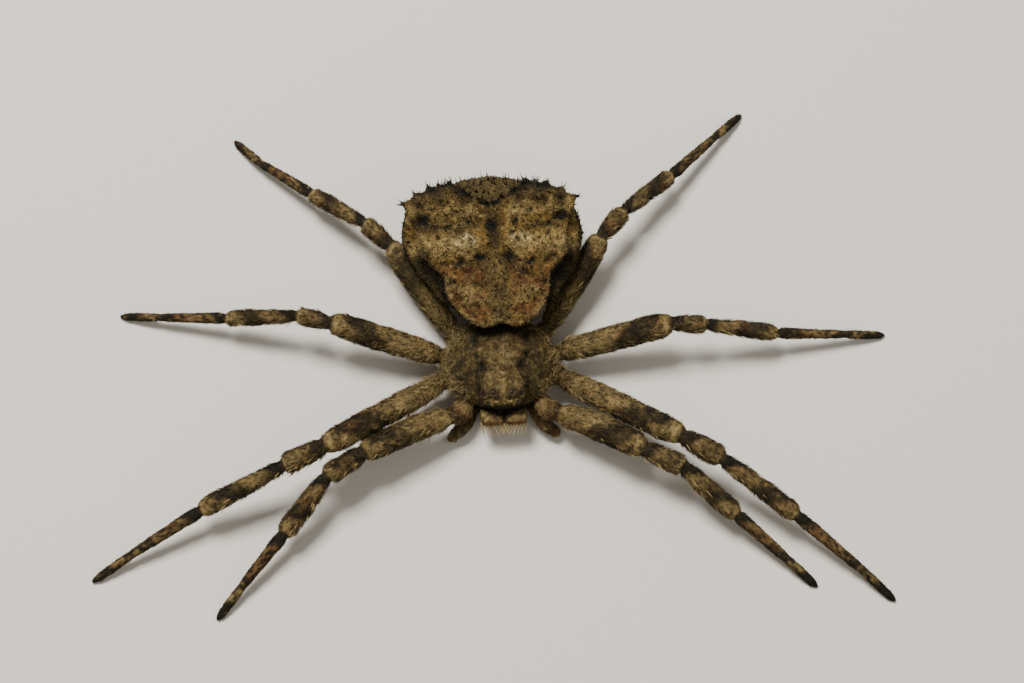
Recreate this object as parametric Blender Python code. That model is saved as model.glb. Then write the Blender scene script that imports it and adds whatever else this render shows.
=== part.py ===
"""A bark-coloured spider with a knobbed, wedge-shaped abdomen, at life size, flat on its eight feet.

The spider faces -Y, its left side is +X and the floor is z = 0. Every length below is in
millimetres and every angle in degrees. The pieces are modelled in millimetres round the middle of
the carapace, and the last step brings them to metres with the floor's point under their middle.
"""
import math
import random
from collections import namedtuple

import bmesh
import bpy
from mathutils import Matrix, Vector
from mathutils.bvhtree import BVHTree

MM = 0.001
GAP = 0.3
EYE_GAP = 0.06
SEED = 7

# Carapace: half an ellipse behind its middle and a more pointed one in front.
CARAPACE_HALF_WIDTH = 3.2
CARAPACE_REAR = 3.2
CARAPACE_FRONT = 2.4
CARAPACE_RIM_HEIGHT = 2.02
CARAPACE_DOME = 1.1
STERNUM_HEIGHT = 0.6
STERNUM_HALF_WIDTH = 1.35
STERNUM_HALF_LENGTH = 1.75
RIDGE_HALF_WIDTHS = (
    (-2.5, 0.95), (-1.9, 1.22), (-1.2, 1.2), (-0.25, 0.82), (0.5, 1.25), (1.6, 1.3), (2.4, 1.0),
)
RIDGE_RISES = (
    (-2.5, 0.62), (-1.9, 0.55), (-1.2, 0.42), (-0.25, 0.16), (0.5, 0.24), (1.6, 0.2), (2.6, 0.0),
)

# Abdomen: a wedge that widens to the rear, with a flat shield on top that overhangs the carapace.
ABDOMEN_MIDDLE_Y = 6.4
ABDOMEN_PIVOT_Y = 4.2
ABDOMEN_BEND = 3.0
SHIELD_OUTLINE = (
    (0.0, 2.15), (0.85, 1.9), (1.9, 2.45), (2.75, 3.6), (3.0, 4.9), (3.95, 6.0), (4.15, 7.5),
    (4.7, 9.0), (4.1, 9.45), (3.2, 9.85), (2.1, 10.05), (1.4, 9.65), (0.75, 9.3), (0.0, 9.0),
)
WALL_OUTLINE = (
    (0.0, 2.75), (1.5, 2.75), (2.9, 3.5), (3.9, 4.8), (4.85, 6.5), (5.1, 7.6), (4.6, 9.1),
    (3.4, 10.15), (2.0, 10.7), (0.0, 11.1),
)
LOW_OUTLINE = (
    (0.0, 3.7), (1.6, 3.85), (2.5, 4.8), (3.3, 6.4), (3.7, 7.8), (3.3, 9.2), (2.0, 10.0), (0.0, 10.2),
)
BELLY_OUTLINE = ((0.0, 4.2), (1.6, 4.5), (2.3, 6.0), (2.5, 7.5), (2.0, 8.9), (0.0, 9.4))
BELLY_HEIGHT = 0.7
LOW_HEIGHT = 1.7
WALL_HEIGHT = 3.1
LIP_DROP = 0.3
SHIELD_FRONT_HEIGHT = 4.0
SHIELD_REAR_HEIGHT = 4.85

# Bumps and hollows of a surface: middle, rise and spread across and along the body.
Bump = namedtuple("Bump", "x y rise across along")
SHIELD_BUMPS = (
    Bump(1.35, 6.6, 0.22, 0.6, 0.45),
    Bump(3.2, 6.5, 0.12, 0.7, 0.5),
    Bump(2.6, 9.1, 0.3, 1.1, 0.6),
    Bump(2.0, 4.0, 0.1, 0.7, 0.8),
    Bump(0.78, 5.85, -0.16, 0.22, 0.22),
    Bump(3.95, 8.0, -0.3, 0.35, 0.35),
    Bump(2.3, 7.8, -0.14, 1.2, 0.35),
    Bump(2.4, 5.5, -0.1, 0.9, 0.25),
)
MIDLINE_GROOVE = Bump(0.0, 7.6, -0.26, 0.5, 1.6)
CARAPACE_BUMPS = (
    Bump(1.12, -0.05, -0.16, 0.2, 0.25),
    Bump(1.3, 0.5, 0.08, 0.18, 0.22),
    Bump(0.62, -1.75, 0.06, 0.3, 0.35),
)
CARAPACE_GROOVE = Bump(0.0, 1.0, -0.06, 0.12, 0.6)

# Cone-shaped knobs of the abdomen: place on the shield or rear wall, base radius, height, and the
# angle above level of the line from outside that finds the root.
Knob = namedtuple("Knob", "x y z radius height lift")
REAR_KNOBS = (
    Knob(4.65, 9.05, 4.5, 0.34, 0.3, 25),
    Knob(4.0, 9.5, 4.6, 0.34, 0.26, 40),
    Knob(3.25, 9.9, 4.65, 0.4, 0.34, 40),
    Knob(2.1, 10.15, 4.55, 0.42, 0.38, 40),
    Knob(1.2, 10.4, 4.0, 0.36, 0.28, 30),
    Knob(0.45, 10.7, 3.8, 0.36, 0.26, 25),
    Knob(2.75, 10.5, 3.5, 0.38, 0.26, 10),
    Knob(4.7, 8.2, 3.9, 0.36, 0.24, 20),
    Knob(4.6, 7.1, 3.8, 0.36, 0.22, 20),
    Knob(3.9, 6.1, 4.25, 0.34, 0.26, 35),
    Knob(1.45, 9.65, 5, 0.34, 0.2, 65),
    Knob(0.78, 9.3, 5, 0.32, 0.2, 70),
    Knob(0.2, 9.05, 5, 0.3, 0.18, 70),
)
SHIELD_KNOBS = (
    Knob(1.35, 6.6, 5, 0.46, 0.22, 90),
    Knob(2.7, 6.35, 5, 0.42, 0.16, 90),
    Knob(2.85, 9.0, 5, 0.5, 0.26, 90),
    Knob(1.6, 9.1, 5, 0.42, 0.2, 90),
    Knob(3.85, 8.95, 5, 0.38, 0.18, 90),
    Knob(1.15, 7.75, 5, 0.34, 0.12, 90),
    Knob(2.5, 7.65, 5, 0.34, 0.12, 90),
    Knob(1.9, 5.1, 5, 0.38, 0.13, 90),
    Knob(2.3, 3.9, 5, 0.36, 0.13, 90),
    Knob(1.2, 3.3, 5, 0.34, 0.12, 90),
)
KNOB_SIDES = 8
KNOB_ROOT = 0.2
KNOB_FLARE = 1.12
KNOB_PROFILE = ((0.0, 1.0), (0.3, 0.7), (0.65, 0.46), (0.92, 0.22))

# Legs: lengths from the hip, heights of the joints, and widths seen from above.
SEGMENTS = ("femur", "patella", "tibia", "metatarsus", "tarsus")
Pair = namedtuple("Pair", "coxa hip lengths heights widths bow hip_width")
PAIRS = {
    1: Pair((1.75, -1.3, 1.25), (2.42, -2.3, 1.62), (5.92, 2.45, 4.0, 3.67, 2.35),
            (2.5, 2.45, 1.45, 0.72, 0.1), (1.44, 1.26, 1.14, 0.84, 0.64), 0.14, 1.24),
    2: Pair((1.8, -0.2, 1.2), (2.95, -0.2, 1.3), (8.23, 2.59, 5.24, 4.54, 2.71),
            (3.0, 2.9, 1.65, 0.75, 0.1), (1.42, 1.28, 1.14, 0.84, 0.64), 0.0, 1.12),
    3: Pair((1.8, 0.9, 1.2), (2.95, 1.0, 1.3), (6.78, 2.02, 4.19, 3.89, 2.38),
            (2.7, 2.55, 1.45, 0.7, 0.1), (1.42, 1.04, 0.96, 0.74, 0.6), 0.0, 1.05),
    4: Pair((1.6, 1.95, 1.15), (2.5, 2.3, 1.3), (6.19, 2.07, 3.79, 3.71, 2.28),
            (2.25, 2.25, 1.4, 0.7, 0.1), (1.32, 1.06, 0.96, 0.74, 0.6), 0.0, 1.05),
}
# The heading of each segment, counted from the spider's left side towards its rear.
HEADINGS = {
    (1, "right"): (-157, -149, -131, -132, -131),
    (1, "left"): (-28, -29, -42, -43, -43),
    (2, "right"): (-150, -156, -157, -152, -150),
    (2, "left"): (-33, -32, -38, -41, -44),
    (3, "right"): (163, 164, 174, 173, 171),
    (3, "left"): (9, -3, -5, 0, 1),
    (4, "right"): (123, 135, 143, 142, 132),
    (4, "left"): (56, 49, 39, 43, 43),
}
LEG_FLATNESS = 0.82
LEG_SIDES = 10
COXA_WIDTH = 0.8
# Width of each segment along its length, as a share of its full width.
PROFILES = {
    "patella": ((0.0, 0.76), (0.3, 0.9), (0.8, 1.0), (1.0, 0.88)),
    "tibia": ((0.0, 0.74), (0.15, 0.86), (0.5, 0.98), (0.9, 1.0), (1.0, 0.86)),
    "metatarsus": ((0.0, 0.9), (0.12, 1.0), (0.55, 0.88), (1.0, 0.76)),
    "tarsus": ((0.0, 0.94), (0.2, 1.0), (0.6, 0.97), (0.86, 0.9), (0.96, 0.7)),
}
FEMUR_PROFILE = ((0.14, 0.8), (0.26, 0.94), (0.45, 1.0), (0.7, 1.0), (0.92, 0.97), (1.0, 0.84))

# Head: chelicerae, fangs, palps and eyes, given for the left side.
# Each ring of a chelicera: height, middle across and along, half width, half depth.
CHELICERA_RINGS = (
    (0.62, 0.62, -2.42, 0.3, 0.32), (0.8, 0.64, -2.42, 0.5, 0.48), (1.2, 0.69, -2.46, 0.62, 0.58),
    (1.6, 0.71, -2.52, 0.66, 0.61), (1.82, 0.71, -2.54, 0.62, 0.55), (1.93, 0.71, -2.58, 0.48, 0.4),
)
CHELICERA_SIDES = 16
CHELICERA_POWER = 3.2
CHELICERA_SLANT = 0.28
FANG_PATH = (
    (0.8, -2.52, 0.36, 0.15), (0.68, -2.62, 0.31, 0.14), (0.46, -2.6, 0.25, 0.11),
    (0.28, -2.48, 0.22, 0.05),
)
PALP_PATH = (
    (1.4, -1.66, 0.78, 0.22), (1.72, -2.12, 0.74, 0.26), (2.02, -2.64, 0.78, 0.31), (2.36, -2.98, 0.8, 0.35),
    (2.66, -3.2, 0.68, 0.33), (2.9, -3.36, 0.52, 0.28), (3.0, -3.44, 0.44, 0.16),
)
Eye = namedtuple("Eye", "start aim radius")
EYES = {
    "eye_rear_inner": Eye((0.5, -1.72, 6.0), (0.0, 0.0, -1.0), 0.16),
    "eye_rear_outer": Eye((4.0, -1.74, 5.2), (-0.82, 0.0, -0.57), 0.15),
    "eye_front_inner": Eye((0.34, -5.0, 3.1), (0.0, 1.0, 0.0), 0.14),
    "eye_front_outer": Eye((1.7, -4.4, 3.6), (-0.35, 0.88, -0.3), 0.19),
}
EYE_SINK = 0.3

PEDICEL_HALF_WIDTH = 0.42
PEDICEL_HALF_HEIGHT = 0.34
PEDICEL_HEIGHT = 1.42
PEDICEL_ENDS = (2.55, 3.42)

SPINNERET_BASE = (0.0, 10.3, 1.25)
SPINNERET_LENGTH = 0.62
SPINNERET_RADIUS = 0.25
SPINNERET_SPREAD = 0.27

FINISHES = {
    "abdomen": ((0.16, 0.10, 0.035), 0.85),
    "carapace": ((0.07, 0.045, 0.015), 0.85),
    "leg": ((0.12, 0.08, 0.03), 0.85),
    "jaw": ((0.09, 0.055, 0.02), 0.7),
    "fang": ((0.03, 0.012, 0.006), 0.3),
    "eye": ((0.01, 0.008, 0.006), 0.08),
}


def clear_scene():
    for thing in list(bpy.data.objects):
        bpy.data.objects.remove(thing, do_unlink=True)


def finish_named(name):
    """The material of one kind of surface, made once."""
    material = bpy.data.materials.get(name)
    if material:
        return material
    colour, roughness = FINISHES[name]
    material = bpy.data.materials.new(name)
    material.use_nodes = True
    shader = material.node_tree.nodes["Principled BSDF"]
    shader.inputs["Base Color"].default_value = (*colour, 1.0)
    shader.inputs["Roughness"].default_value = roughness
    shader.inputs["Metallic"].default_value = 0.0
    return material


def between(table, value):
    """Read a table of (place, number) pairs, easing from one number to the next."""
    if value <= table[0][0]:
        return table[0][1]
    for (low, first), (high, second) in zip(table, table[1:]):
        if value <= high:
            share = (value - low) / (high - low)
            share = share * share * (3.0 - 2.0 * share)
            return first + (second - first) * share
    return table[-1][1]


def ease(low, high, value):
    share = min(max((value - low) / (high - low), 0.0), 1.0)
    return share * share * (3.0 - 2.0 * share)


def rounded(value, power):
    """A sine or cosine bent so that an ellipse becomes squarer, or more pointed below a power of 2."""
    return math.copysign(abs(value) ** (2.0 / power), value)


def bump_rise(bump, x, y):
    """The rise of a bump at a place, the same on both sides of the midline."""
    across = (abs(x) - bump.x) / bump.across
    along = (y - bump.y) / bump.along
    return bump.rise * math.exp(-0.5 * (across * across + along * along))


class Outline:
    """A closed outline, alike left and right, as a smooth radius round a middle."""

    def __init__(self, middle_y, points):
        self.middle_y = middle_y
        self.rows = sorted((math.atan2(y - middle_y, x), math.hypot(x, y - middle_y)) for x, y in points)

    def radius(self, angle):
        angle = math.asin(max(-1.0, min(1.0, math.sin(angle))))
        rows = self.rows
        place = 0
        while place < len(rows) - 2 and angle > rows[place + 1][0]:
            place += 1
        before = rows[max(place - 1, 0)]
        low = rows[place]
        high = rows[place + 1]
        after = rows[min(place + 2, len(rows) - 1)]
        span = high[0] - low[0]
        slope_low = (high[1] - before[1]) / (high[0] - before[0]) if before is not low else 0.0
        slope_high = (after[1] - low[1]) / (after[0] - low[0]) if after is not high else 0.0
        t = (angle - low[0]) / span
        return (
            low[1] * (2 * t ** 3 - 3 * t ** 2 + 1) + slope_low * span * (t ** 3 - 2 * t ** 2 + t)
            + high[1] * (3 * t ** 2 - 2 * t ** 3) + slope_high * span * (t ** 3 - t ** 2)
        )

    def point(self, angle, scale=1.0):
        radius = self.radius(angle) * scale
        return radius * math.cos(angle), self.middle_y + radius * math.sin(angle)


def smooth_rings(rings, steps):
    """Add rings between the given ones, along smooth curves through their points."""
    smoothed = []
    for i in range(len(rings) - 1):
        before = rings[max(i - 1, 0)]
        low = rings[i]
        high = rings[i + 1]
        after = rings[min(i + 2, len(rings) - 1)]
        for step in range(steps):
            t = step / steps
            ring = []
            for a, b, c, d in zip(before, low, high, after):
                ring.append((b * 2.0 + (c - a) * t + (a * 2.0 - b * 5.0 + c * 4.0 - d) * t ** 2
                             + (b * 3.0 - a - c * 3.0 + d) * t ** 3) * 0.5)
            smoothed.append(ring)
    return smoothed + [rings[-1]]


def closed_mesh(name, rings, first_tip=None, last_tip=None):
    """Skin a stack of equal rings, each given anticlockwise seen from the last one, and close its ends."""
    mesh = bmesh.new()
    rows = [[mesh.verts.new(point) for point in ring] for ring in rings]
    count = len(rows[0])
    for low, high in zip(rows, rows[1:]):
        for i in range(count):
            j = (i + 1) % count
            mesh.faces.new((low[i], low[j], high[j], high[i]))
    first = mesh.verts.new(first_tip or sum((Vector(p) for p in rings[0]), Vector()) / count)
    last = mesh.verts.new(last_tip or sum((Vector(p) for p in rings[-1]), Vector()) / count)
    for i in range(count):
        j = (i + 1) % count
        mesh.faces.new((rows[0][j], rows[0][i], first))
        mesh.faces.new((rows[-1][i], rows[-1][j], last))
    bmesh.ops.triangulate(mesh, faces=mesh.faces[:])
    bmesh.ops.recalc_face_normals(mesh, faces=mesh.faces[:])
    data = bpy.data.meshes.new(name)
    mesh.to_mesh(data)
    mesh.free()
    return data


def add_piece(name, data, finish, place):
    """Make one node whose own axes are those of place, with its mesh given in the body's frame."""
    data.materials.clear()
    data.materials.append(finish_named(finish))
    data.transform(place.inverted())
    data.shade_smooth()
    data.set_sharp_from_angle(angle=math.radians(50))
    piece = bpy.data.objects.new(name, data)
    bpy.context.scene.collection.objects.link(piece)
    piece.matrix_world = place
    return piece


def keep_largest(data):
    """Keep only the largest closed surface of a mesh."""
    mesh = bmesh.new()
    mesh.from_mesh(data)
    bmesh.ops.dissolve_degenerate(mesh, dist=1e-5, edges=mesh.edges[:])
    bmesh.ops.triangulate(mesh, faces=mesh.faces[:])
    left = set(mesh.verts)
    groups = []
    while left:
        front = [left.pop()]
        group = set(front)
        while front:
            for edge in front.pop().link_edges:
                for vert in edge.verts:
                    if vert in left:
                        left.remove(vert)
                        group.add(vert)
                        front.append(vert)
        groups.append(group)
    largest = max(groups, key=len)
    loose = [vert for vert in mesh.verts if vert not in largest]
    bmesh.ops.delete(mesh, geom=loose, context="VERTS")
    mesh.to_mesh(data)
    mesh.free()
    return data


def combine(data, extras, operation):
    """Join the closed meshes in extras to a mesh, or cut them from it, in one Boolean."""
    body = bpy.data.objects.new("body", data)
    bpy.context.scene.collection.objects.link(body)
    group = bpy.data.collections.new("extras")
    bpy.context.scene.collection.children.link(group)
    for extra in extras:
        group.objects.link(bpy.data.objects.new("extra", extra))
    boolean = body.modifiers.new("combine", "BOOLEAN")
    boolean.operation = operation
    boolean.operand_type = "COLLECTION"
    boolean.collection = group
    boolean.solver = "EXACT"
    bpy.context.view_layer.update()
    result = bpy.data.meshes.new_from_object(body.evaluated_get(bpy.context.evaluated_depsgraph_get()))
    for thing in [body, *group.objects]:
        bpy.data.objects.remove(thing, do_unlink=True)
    bpy.data.collections.remove(group)
    return keep_largest(result)


def ball(middle, radius, segments, rings):
    mesh = bmesh.new()
    place = Matrix.Translation(middle)
    bmesh.ops.create_uvsphere(mesh, u_segments=segments, v_segments=rings, radius=radius, matrix=place)
    data = bpy.data.meshes.new("ball")
    mesh.to_mesh(data)
    mesh.free()
    return data


def surface_of(data):
    """A tree of a mesh's triangles, for finding where a line meets it."""
    mesh = bmesh.new()
    mesh.from_mesh(data)
    tree = BVHTree.FromBMesh(mesh)
    mesh.free()
    return tree


def bend_abdomen(x, y, z):
    """Slide a place on the straight abdomen to the right, the more the further it lies behind the waist."""
    return Vector((x - (y - ABDOMEN_PIVOT_Y) * math.tan(math.radians(ABDOMEN_BEND)), y, z))


def shield_height(x, y):
    """Height of the abdomen's top, before the waist's bend."""
    height = between(((1.9, SHIELD_FRONT_HEIGHT), (5.6, 4.5), (6.6, 4.72), (9.6, SHIELD_REAR_HEIGHT)), y)
    height -= 0.3 * ease(0.6, 3.4, abs(x)) * (1.0 - ease(3.0, 6.5, y))
    height -= 0.35 * ease(3.0, 0.0, abs(x)) * ease(8.4, 9.6, y)
    for bump in SHIELD_BUMPS:
        height += bump_rise(bump, x, y)
    return height + bump_rise(MIDLINE_GROOVE, x, y)


def abdomen_rings(sides=60):
    """Rings from the belly up over the wall to the shield's edge, then in over the shield."""
    belly = Outline(ABDOMEN_MIDDLE_Y, BELLY_OUTLINE)
    low = Outline(ABDOMEN_MIDDLE_Y, LOW_OUTLINE)
    wall = Outline(ABDOMEN_MIDDLE_Y, WALL_OUTLINE)
    shield = Outline(ABDOMEN_MIDDLE_Y, SHIELD_OUTLINE)
    angles = [2.0 * math.pi * i / sides for i in range(sides)]
    rings = []

    def level(outline, scale, height):
        points = [outline.point(angle, scale) for angle in angles]
        rings.append([bend_abdomen(x, y, height) for x, y in points])

    def blend(share):
        ring = []
        for angle in angles:
            ax, ay = wall.point(angle)
            bx, by = shield.point(angle)
            x = ax + (bx - ax) * share
            y = ay + (by - ay) * share
            top = shield_height(bx, by) - LIP_DROP
            ring.append(bend_abdomen(x, y, WALL_HEIGHT + (top - WALL_HEIGHT) * share))
        rings.append(ring)

    level(belly, 0.55, BELLY_HEIGHT)
    level(belly, 1.0, BELLY_HEIGHT + 0.2)
    level(low, 1.0, LOW_HEIGHT)
    level(wall, 0.9, 2.5)
    level(wall, 1.0, WALL_HEIGHT)
    blend(0.5)
    blend(1.0)
    rings = smooth_rings(rings, 2)
    for scale in (1.0, 0.96, 0.88, 0.78, 0.67, 0.55, 0.42, 0.28, 0.13):
        ring = []
        for angle in angles:
            x, y = shield.point(angle, scale)
            ring.append(bend_abdomen(x, y, shield_height(x, y)))
        rings.append(ring)
    return rings


def knob(tree, shape, side, draw):
    """One cone-shaped knob, rooted where a line from outside meets the abdomen."""
    lift = math.radians(shape.lift)
    foot = Vector((side * shape.x, shape.y - ABDOMEN_MIDDLE_Y, 0.0)).normalized()
    outward = foot * math.cos(lift) + Vector((0.0, 0.0, math.sin(lift)))
    start = bend_abdomen(side * shape.x, shape.y, shape.z) + outward * 4.0
    spot, normal, _, _ = tree.ray_cast(start, -outward)
    axis = (outward + normal).normalized()
    across = axis.orthogonal().normalized()
    along = axis.cross(across)
    height = shape.height * draw.uniform(0.85, 1.15)
    radius = shape.radius * draw.uniform(0.9, 1.1)
    rings = []
    levels = [(-KNOB_ROOT, KNOB_FLARE)] + [(share * height, width) for share, width in KNOB_PROFILE]
    for rise, width in levels:
        middle = spot + axis * rise
        ring = []
        for i in range(KNOB_SIDES):
            angle = 2.0 * math.pi * i / KNOB_SIDES
            reach = across * math.cos(angle) + along * math.sin(angle)
            ring.append(middle + reach * radius * width)
        rings.append(ring)
    return closed_mesh("knob", rings, None, spot + axis * height)


def make_abdomen(place):
    rings = abdomen_rings()
    data = closed_mesh("abdomen", rings)
    tree = surface_of(data)
    draw = random.Random(SEED)
    knobs = []
    for shape in REAR_KNOBS + SHIELD_KNOBS:
        knobs.append(knob(tree, shape, 1, draw))
        knobs.append(knob(tree, shape, -1, draw))
    data = combine(data, knobs, "UNION")
    return add_piece("abdomen", data, "abdomen", place(bend_abdomen(0.0, ABDOMEN_PIVOT_Y, 2.0)))


def carapace_point(angle, scale=1.0):
    """A point of the carapace's rim, or of a smaller copy of it."""
    reach = CARAPACE_REAR if math.sin(angle) > 0 else CARAPACE_FRONT
    power = 2.0 if math.sin(angle) > 0 else 1.8
    across = rounded(math.cos(angle), power)
    along = rounded(math.sin(angle), power)
    return CARAPACE_HALF_WIDTH * across * scale, reach * along * scale


def carapace_height(x, y, scale):
    """Height of the carapace: a low dome with a raised plate, a waist and the eye hump."""
    height = CARAPACE_RIM_HEIGHT + CARAPACE_DOME * (1.0 - scale ** 2.6) ** 0.7
    half = between(RIDGE_HALF_WIDTHS, y)
    side = 1.0 - ease(half - 0.12, half + 0.28, abs(x))
    height += between(RIDGE_RISES, y) * side
    for bump in CARAPACE_BUMPS:
        height += bump_rise(bump, x, y)
    return height + bump_rise(CARAPACE_GROOVE, x, y)


def carapace_rings(sides=44):
    """Rings from the breast plate up the side, out under the rim and in over the carapace."""
    angles = [2.0 * math.pi * i / sides for i in range(sides)]
    rings = []
    for scale, height in ((0.6, STERNUM_HEIGHT), (0.95, 0.68), (1.05, 0.95), (1.08, 1.75)):
        ring = []
        for angle in angles:
            x = STERNUM_HALF_WIDTH * scale * math.cos(angle)
            y = STERNUM_HALF_LENGTH * scale * math.sin(angle)
            ring.append(Vector((x, y + 0.2, height)))
        rings.append(ring)
    for scale, drop in ((0.9, 0.1), (0.98, 0.08), (1.0, 0.0)):
        ring = [Vector((*carapace_point(angle, scale), CARAPACE_RIM_HEIGHT - drop)) for angle in angles]
        rings.append(ring)
    for scale in (0.985, 0.95, 0.9, 0.83, 0.73, 0.61, 0.48, 0.35, 0.22, 0.1):
        ring = []
        for angle in angles:
            x, y = carapace_point(angle, scale)
            ring.append(Vector((x, y, carapace_height(x, y, scale))))
        rings.append(ring)
    return rings


def eye_places(tree):
    """The middle and radius of each eye, set a little way into the head."""
    places = {}
    for name, eye in EYES.items():
        for side, word in ((1, "left"), (-1, "right")):
            start = Vector((side * eye.start[0], *eye.start[1:]))
            aim = Vector((side * eye.aim[0], *eye.aim[1:])).normalized()
            spot, _, _, _ = tree.ray_cast(start, aim)
            places[f"{name}_{word}"] = (spot + aim * eye.radius * EYE_SINK, eye.radius)
    return places


def make_head_and_eyes(place):
    data = closed_mesh("cephalothorax", carapace_rings())
    places = eye_places(surface_of(data))
    sockets = [ball(middle, radius + EYE_GAP, 10, 6) for middle, radius in places.values()]
    data = combine(data, sockets, "DIFFERENCE")
    add_piece("cephalothorax", data, "carapace", place(Vector((0.0, 0.0, CARAPACE_RIM_HEIGHT))))
    for name, (middle, radius) in places.items():
        add_piece(name, ball(middle, radius, 10, 6), "eye", place(middle))


def frame_along(start, end):
    """Axes at start: local Y along the segment, local X level, local Z up."""
    along = (end - start).normalized()
    level = along.cross(Vector((0.0, 0.0, 1.0))).normalized()
    rise = level.cross(along)
    axes = Matrix((level, along, rise)).transposed()
    return Matrix.Translation(start) @ axes.to_4x4()


def leg_ring(middle, axes, width, height):
    ring = []
    for i in range(LEG_SIDES):
        angle = 2.0 * math.pi * (i + 0.5) / LEG_SIDES
        across = axes.col[0].xyz * math.cos(angle) * width / 2.0
        rise = axes.col[2].xyz * math.sin(angle) * height / 2.0
        ring.append(middle + across + rise)
    return ring


def cut_ring(ring, along, joint, normal, offset):
    """Slide a ring's points along the leg to a plane that is offset from a joint."""
    goal = joint + normal * offset
    return [point + along * ((goal - point).dot(normal) / along.dot(normal)) for point in ring]


def joint_planes(joints):
    """The plane in which the two segments at each joint face each other."""
    ways = [(b - a).normalized() for a, b in zip(joints, joints[1:])]
    planes = [ways[0]]
    for first, second in zip(ways, ways[1:]):
        planes.append((first + second).normalized())
    return planes + [ways[-1]]


def leg_joints(number, side):
    """The leg's joints, from the hip to the tip."""
    pair = PAIRS[number]
    mirror = 1 if side == "left" else -1
    joints = [Vector((mirror * pair.hip[0], *pair.hip[1:]))]
    for heading, length, height in zip(HEADINGS[number, side], pair.lengths, pair.heights):
        last = joints[-1]
        run = math.sqrt(length ** 2 - (height - last.z) ** 2)
        turn = math.radians(heading)
        joints.append(Vector((last.x + run * math.cos(turn), last.y + run * math.sin(turn), height)))
    return joints


def make_femur(name, number, side, joints, planes, place):
    """Coxa and trochanter as lumps under the carapace's edge, then the long, flattened femur."""
    pair = PAIRS[number]
    mirror = 1 if side == "left" else -1
    root = Vector((mirror * pair.coxa[0], *pair.coxa[1:]))
    hip, knee = joints[0], joints[1]
    inner = frame_along(root, hip)
    outer = frame_along(hip, knee)
    level = outer.col[0].xyz
    rearward = level if level.y > 0 else -level
    rings = [leg_ring(root, inner, COXA_WIDTH * 0.86, COXA_WIDTH * 0.86)]
    rings.append(leg_ring(root.lerp(hip, 0.35), inner, COXA_WIDTH, COXA_WIDTH))
    middle_axes = frame_along(root.lerp(hip, 0.5), hip.lerp(knee, 0.1))
    hip_width = pair.hip_width
    rings.append(leg_ring(root.lerp(hip, 0.8), middle_axes, hip_width * 0.94, hip_width * 0.78))
    rings.append(leg_ring(hip.lerp(knee, 0.035), outer, hip_width, hip_width * 0.78))
    width = pair.widths[0]
    for share, scale in FEMUR_PROFILE:
        bow = rearward * pair.bow * math.sin(math.pi * share)
        middle = hip.lerp(knee, share) + bow
        rings.append(leg_ring(middle, outer, width * scale, width * scale * LEG_FLATNESS))
    along = (knee - hip).normalized()
    rings[-1] = cut_ring(rings[-1], along, knee, planes[1], -GAP / 2.0)
    add_piece(name, closed_mesh(name, rings), "leg", place(hip, outer))


def make_segment(name, segment, width, start, end, planes, place):
    """One segment between two joints, cut back at both so that it faces its neighbours."""
    axes = frame_along(start, end)
    along = (end - start).normalized()
    rings = []
    for share, scale in PROFILES[segment]:
        rings.append(leg_ring(start.lerp(end, share), axes, width * scale, width * scale * LEG_FLATNESS))
    rings[0] = cut_ring(rings[0], along, start, planes[0], GAP / 2.0)
    tip = None
    if segment == "tarsus":
        tip = end.copy()
        rings = [[Vector((p.x, p.y, max(p.z, 0.0))) for p in ring] for ring in rings]
    else:
        rings[-1] = cut_ring(rings[-1], along, end, planes[1], -GAP / 2.0)
    add_piece(name, closed_mesh(name, rings, None, tip), "leg", place(start, axes))


def make_leg(number, side, place):
    joints = leg_joints(number, side)
    planes = joint_planes(joints)
    stem = f"leg_{number}_{side}"
    make_femur(f"{stem}_femur", number, side, joints, planes, place)
    for i, segment in enumerate(SEGMENTS[1:], start=1):
        width = PAIRS[number].widths[i]
        ends = planes[i:i + 2]
        make_segment(f"{stem}_{segment}", segment, width, joints[i], joints[i + 1], ends, place)


def tube(name, path, sides=8):
    """A closed tube along a path of (x, y, z, radius) stations."""
    points = [Vector(station[:3]) for station in path]
    planes = joint_planes(points)
    rings = []
    for point, normal, station in zip(points, planes, path):
        across = normal.cross(Vector((0.0, 0.0, 1.0))).normalized()
        rise = across.cross(normal)
        ring = []
        for i in range(sides):
            angle = 2.0 * math.pi * i / sides
            ring.append(point + (across * math.cos(angle) + rise * math.sin(angle)) * station[3])
        rings.append(ring)
    return closed_mesh(name, rings)


def mirrored(path, mirror):
    return [(mirror * station[0], *station[1:]) for station in path]


def make_mouthparts(place):
    """Chelicerae, fangs and palps on both sides of the mouth."""
    for mirror, word in ((1, "left"), (-1, "right")):
        rings = []
        for height, x, y, half_width, half_depth in CHELICERA_RINGS:
            ring = []
            for i in range(CHELICERA_SIDES):
                angle = 2.0 * math.pi * i / CHELICERA_SIDES
                across = half_width * rounded(math.cos(angle), CHELICERA_POWER)
                along = half_depth * rounded(math.sin(angle), CHELICERA_POWER)
                slant = -along * CHELICERA_SLANT * ease(1.2, 1.8, height)
                ring.append(Vector((mirror * x + across, y + along, height + slant)))
            rings.append(ring)
        name = f"chelicera_{word}"
        add_piece(name, closed_mesh(name, rings), "jaw", place(Vector((mirror * 0.68, -2.5, 1.86))))
        name = f"fang_{word}"
        fang = mirrored(FANG_PATH, mirror)
        add_piece(name, tube(name, fang, 6), "fang", place(Vector(fang[0][:3])))
        name = f"palp_{word}"
        palp = mirrored(PALP_PATH, mirror)
        add_piece(name, tube(name, palp), "leg", place(Vector(palp[0][:3])))


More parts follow.
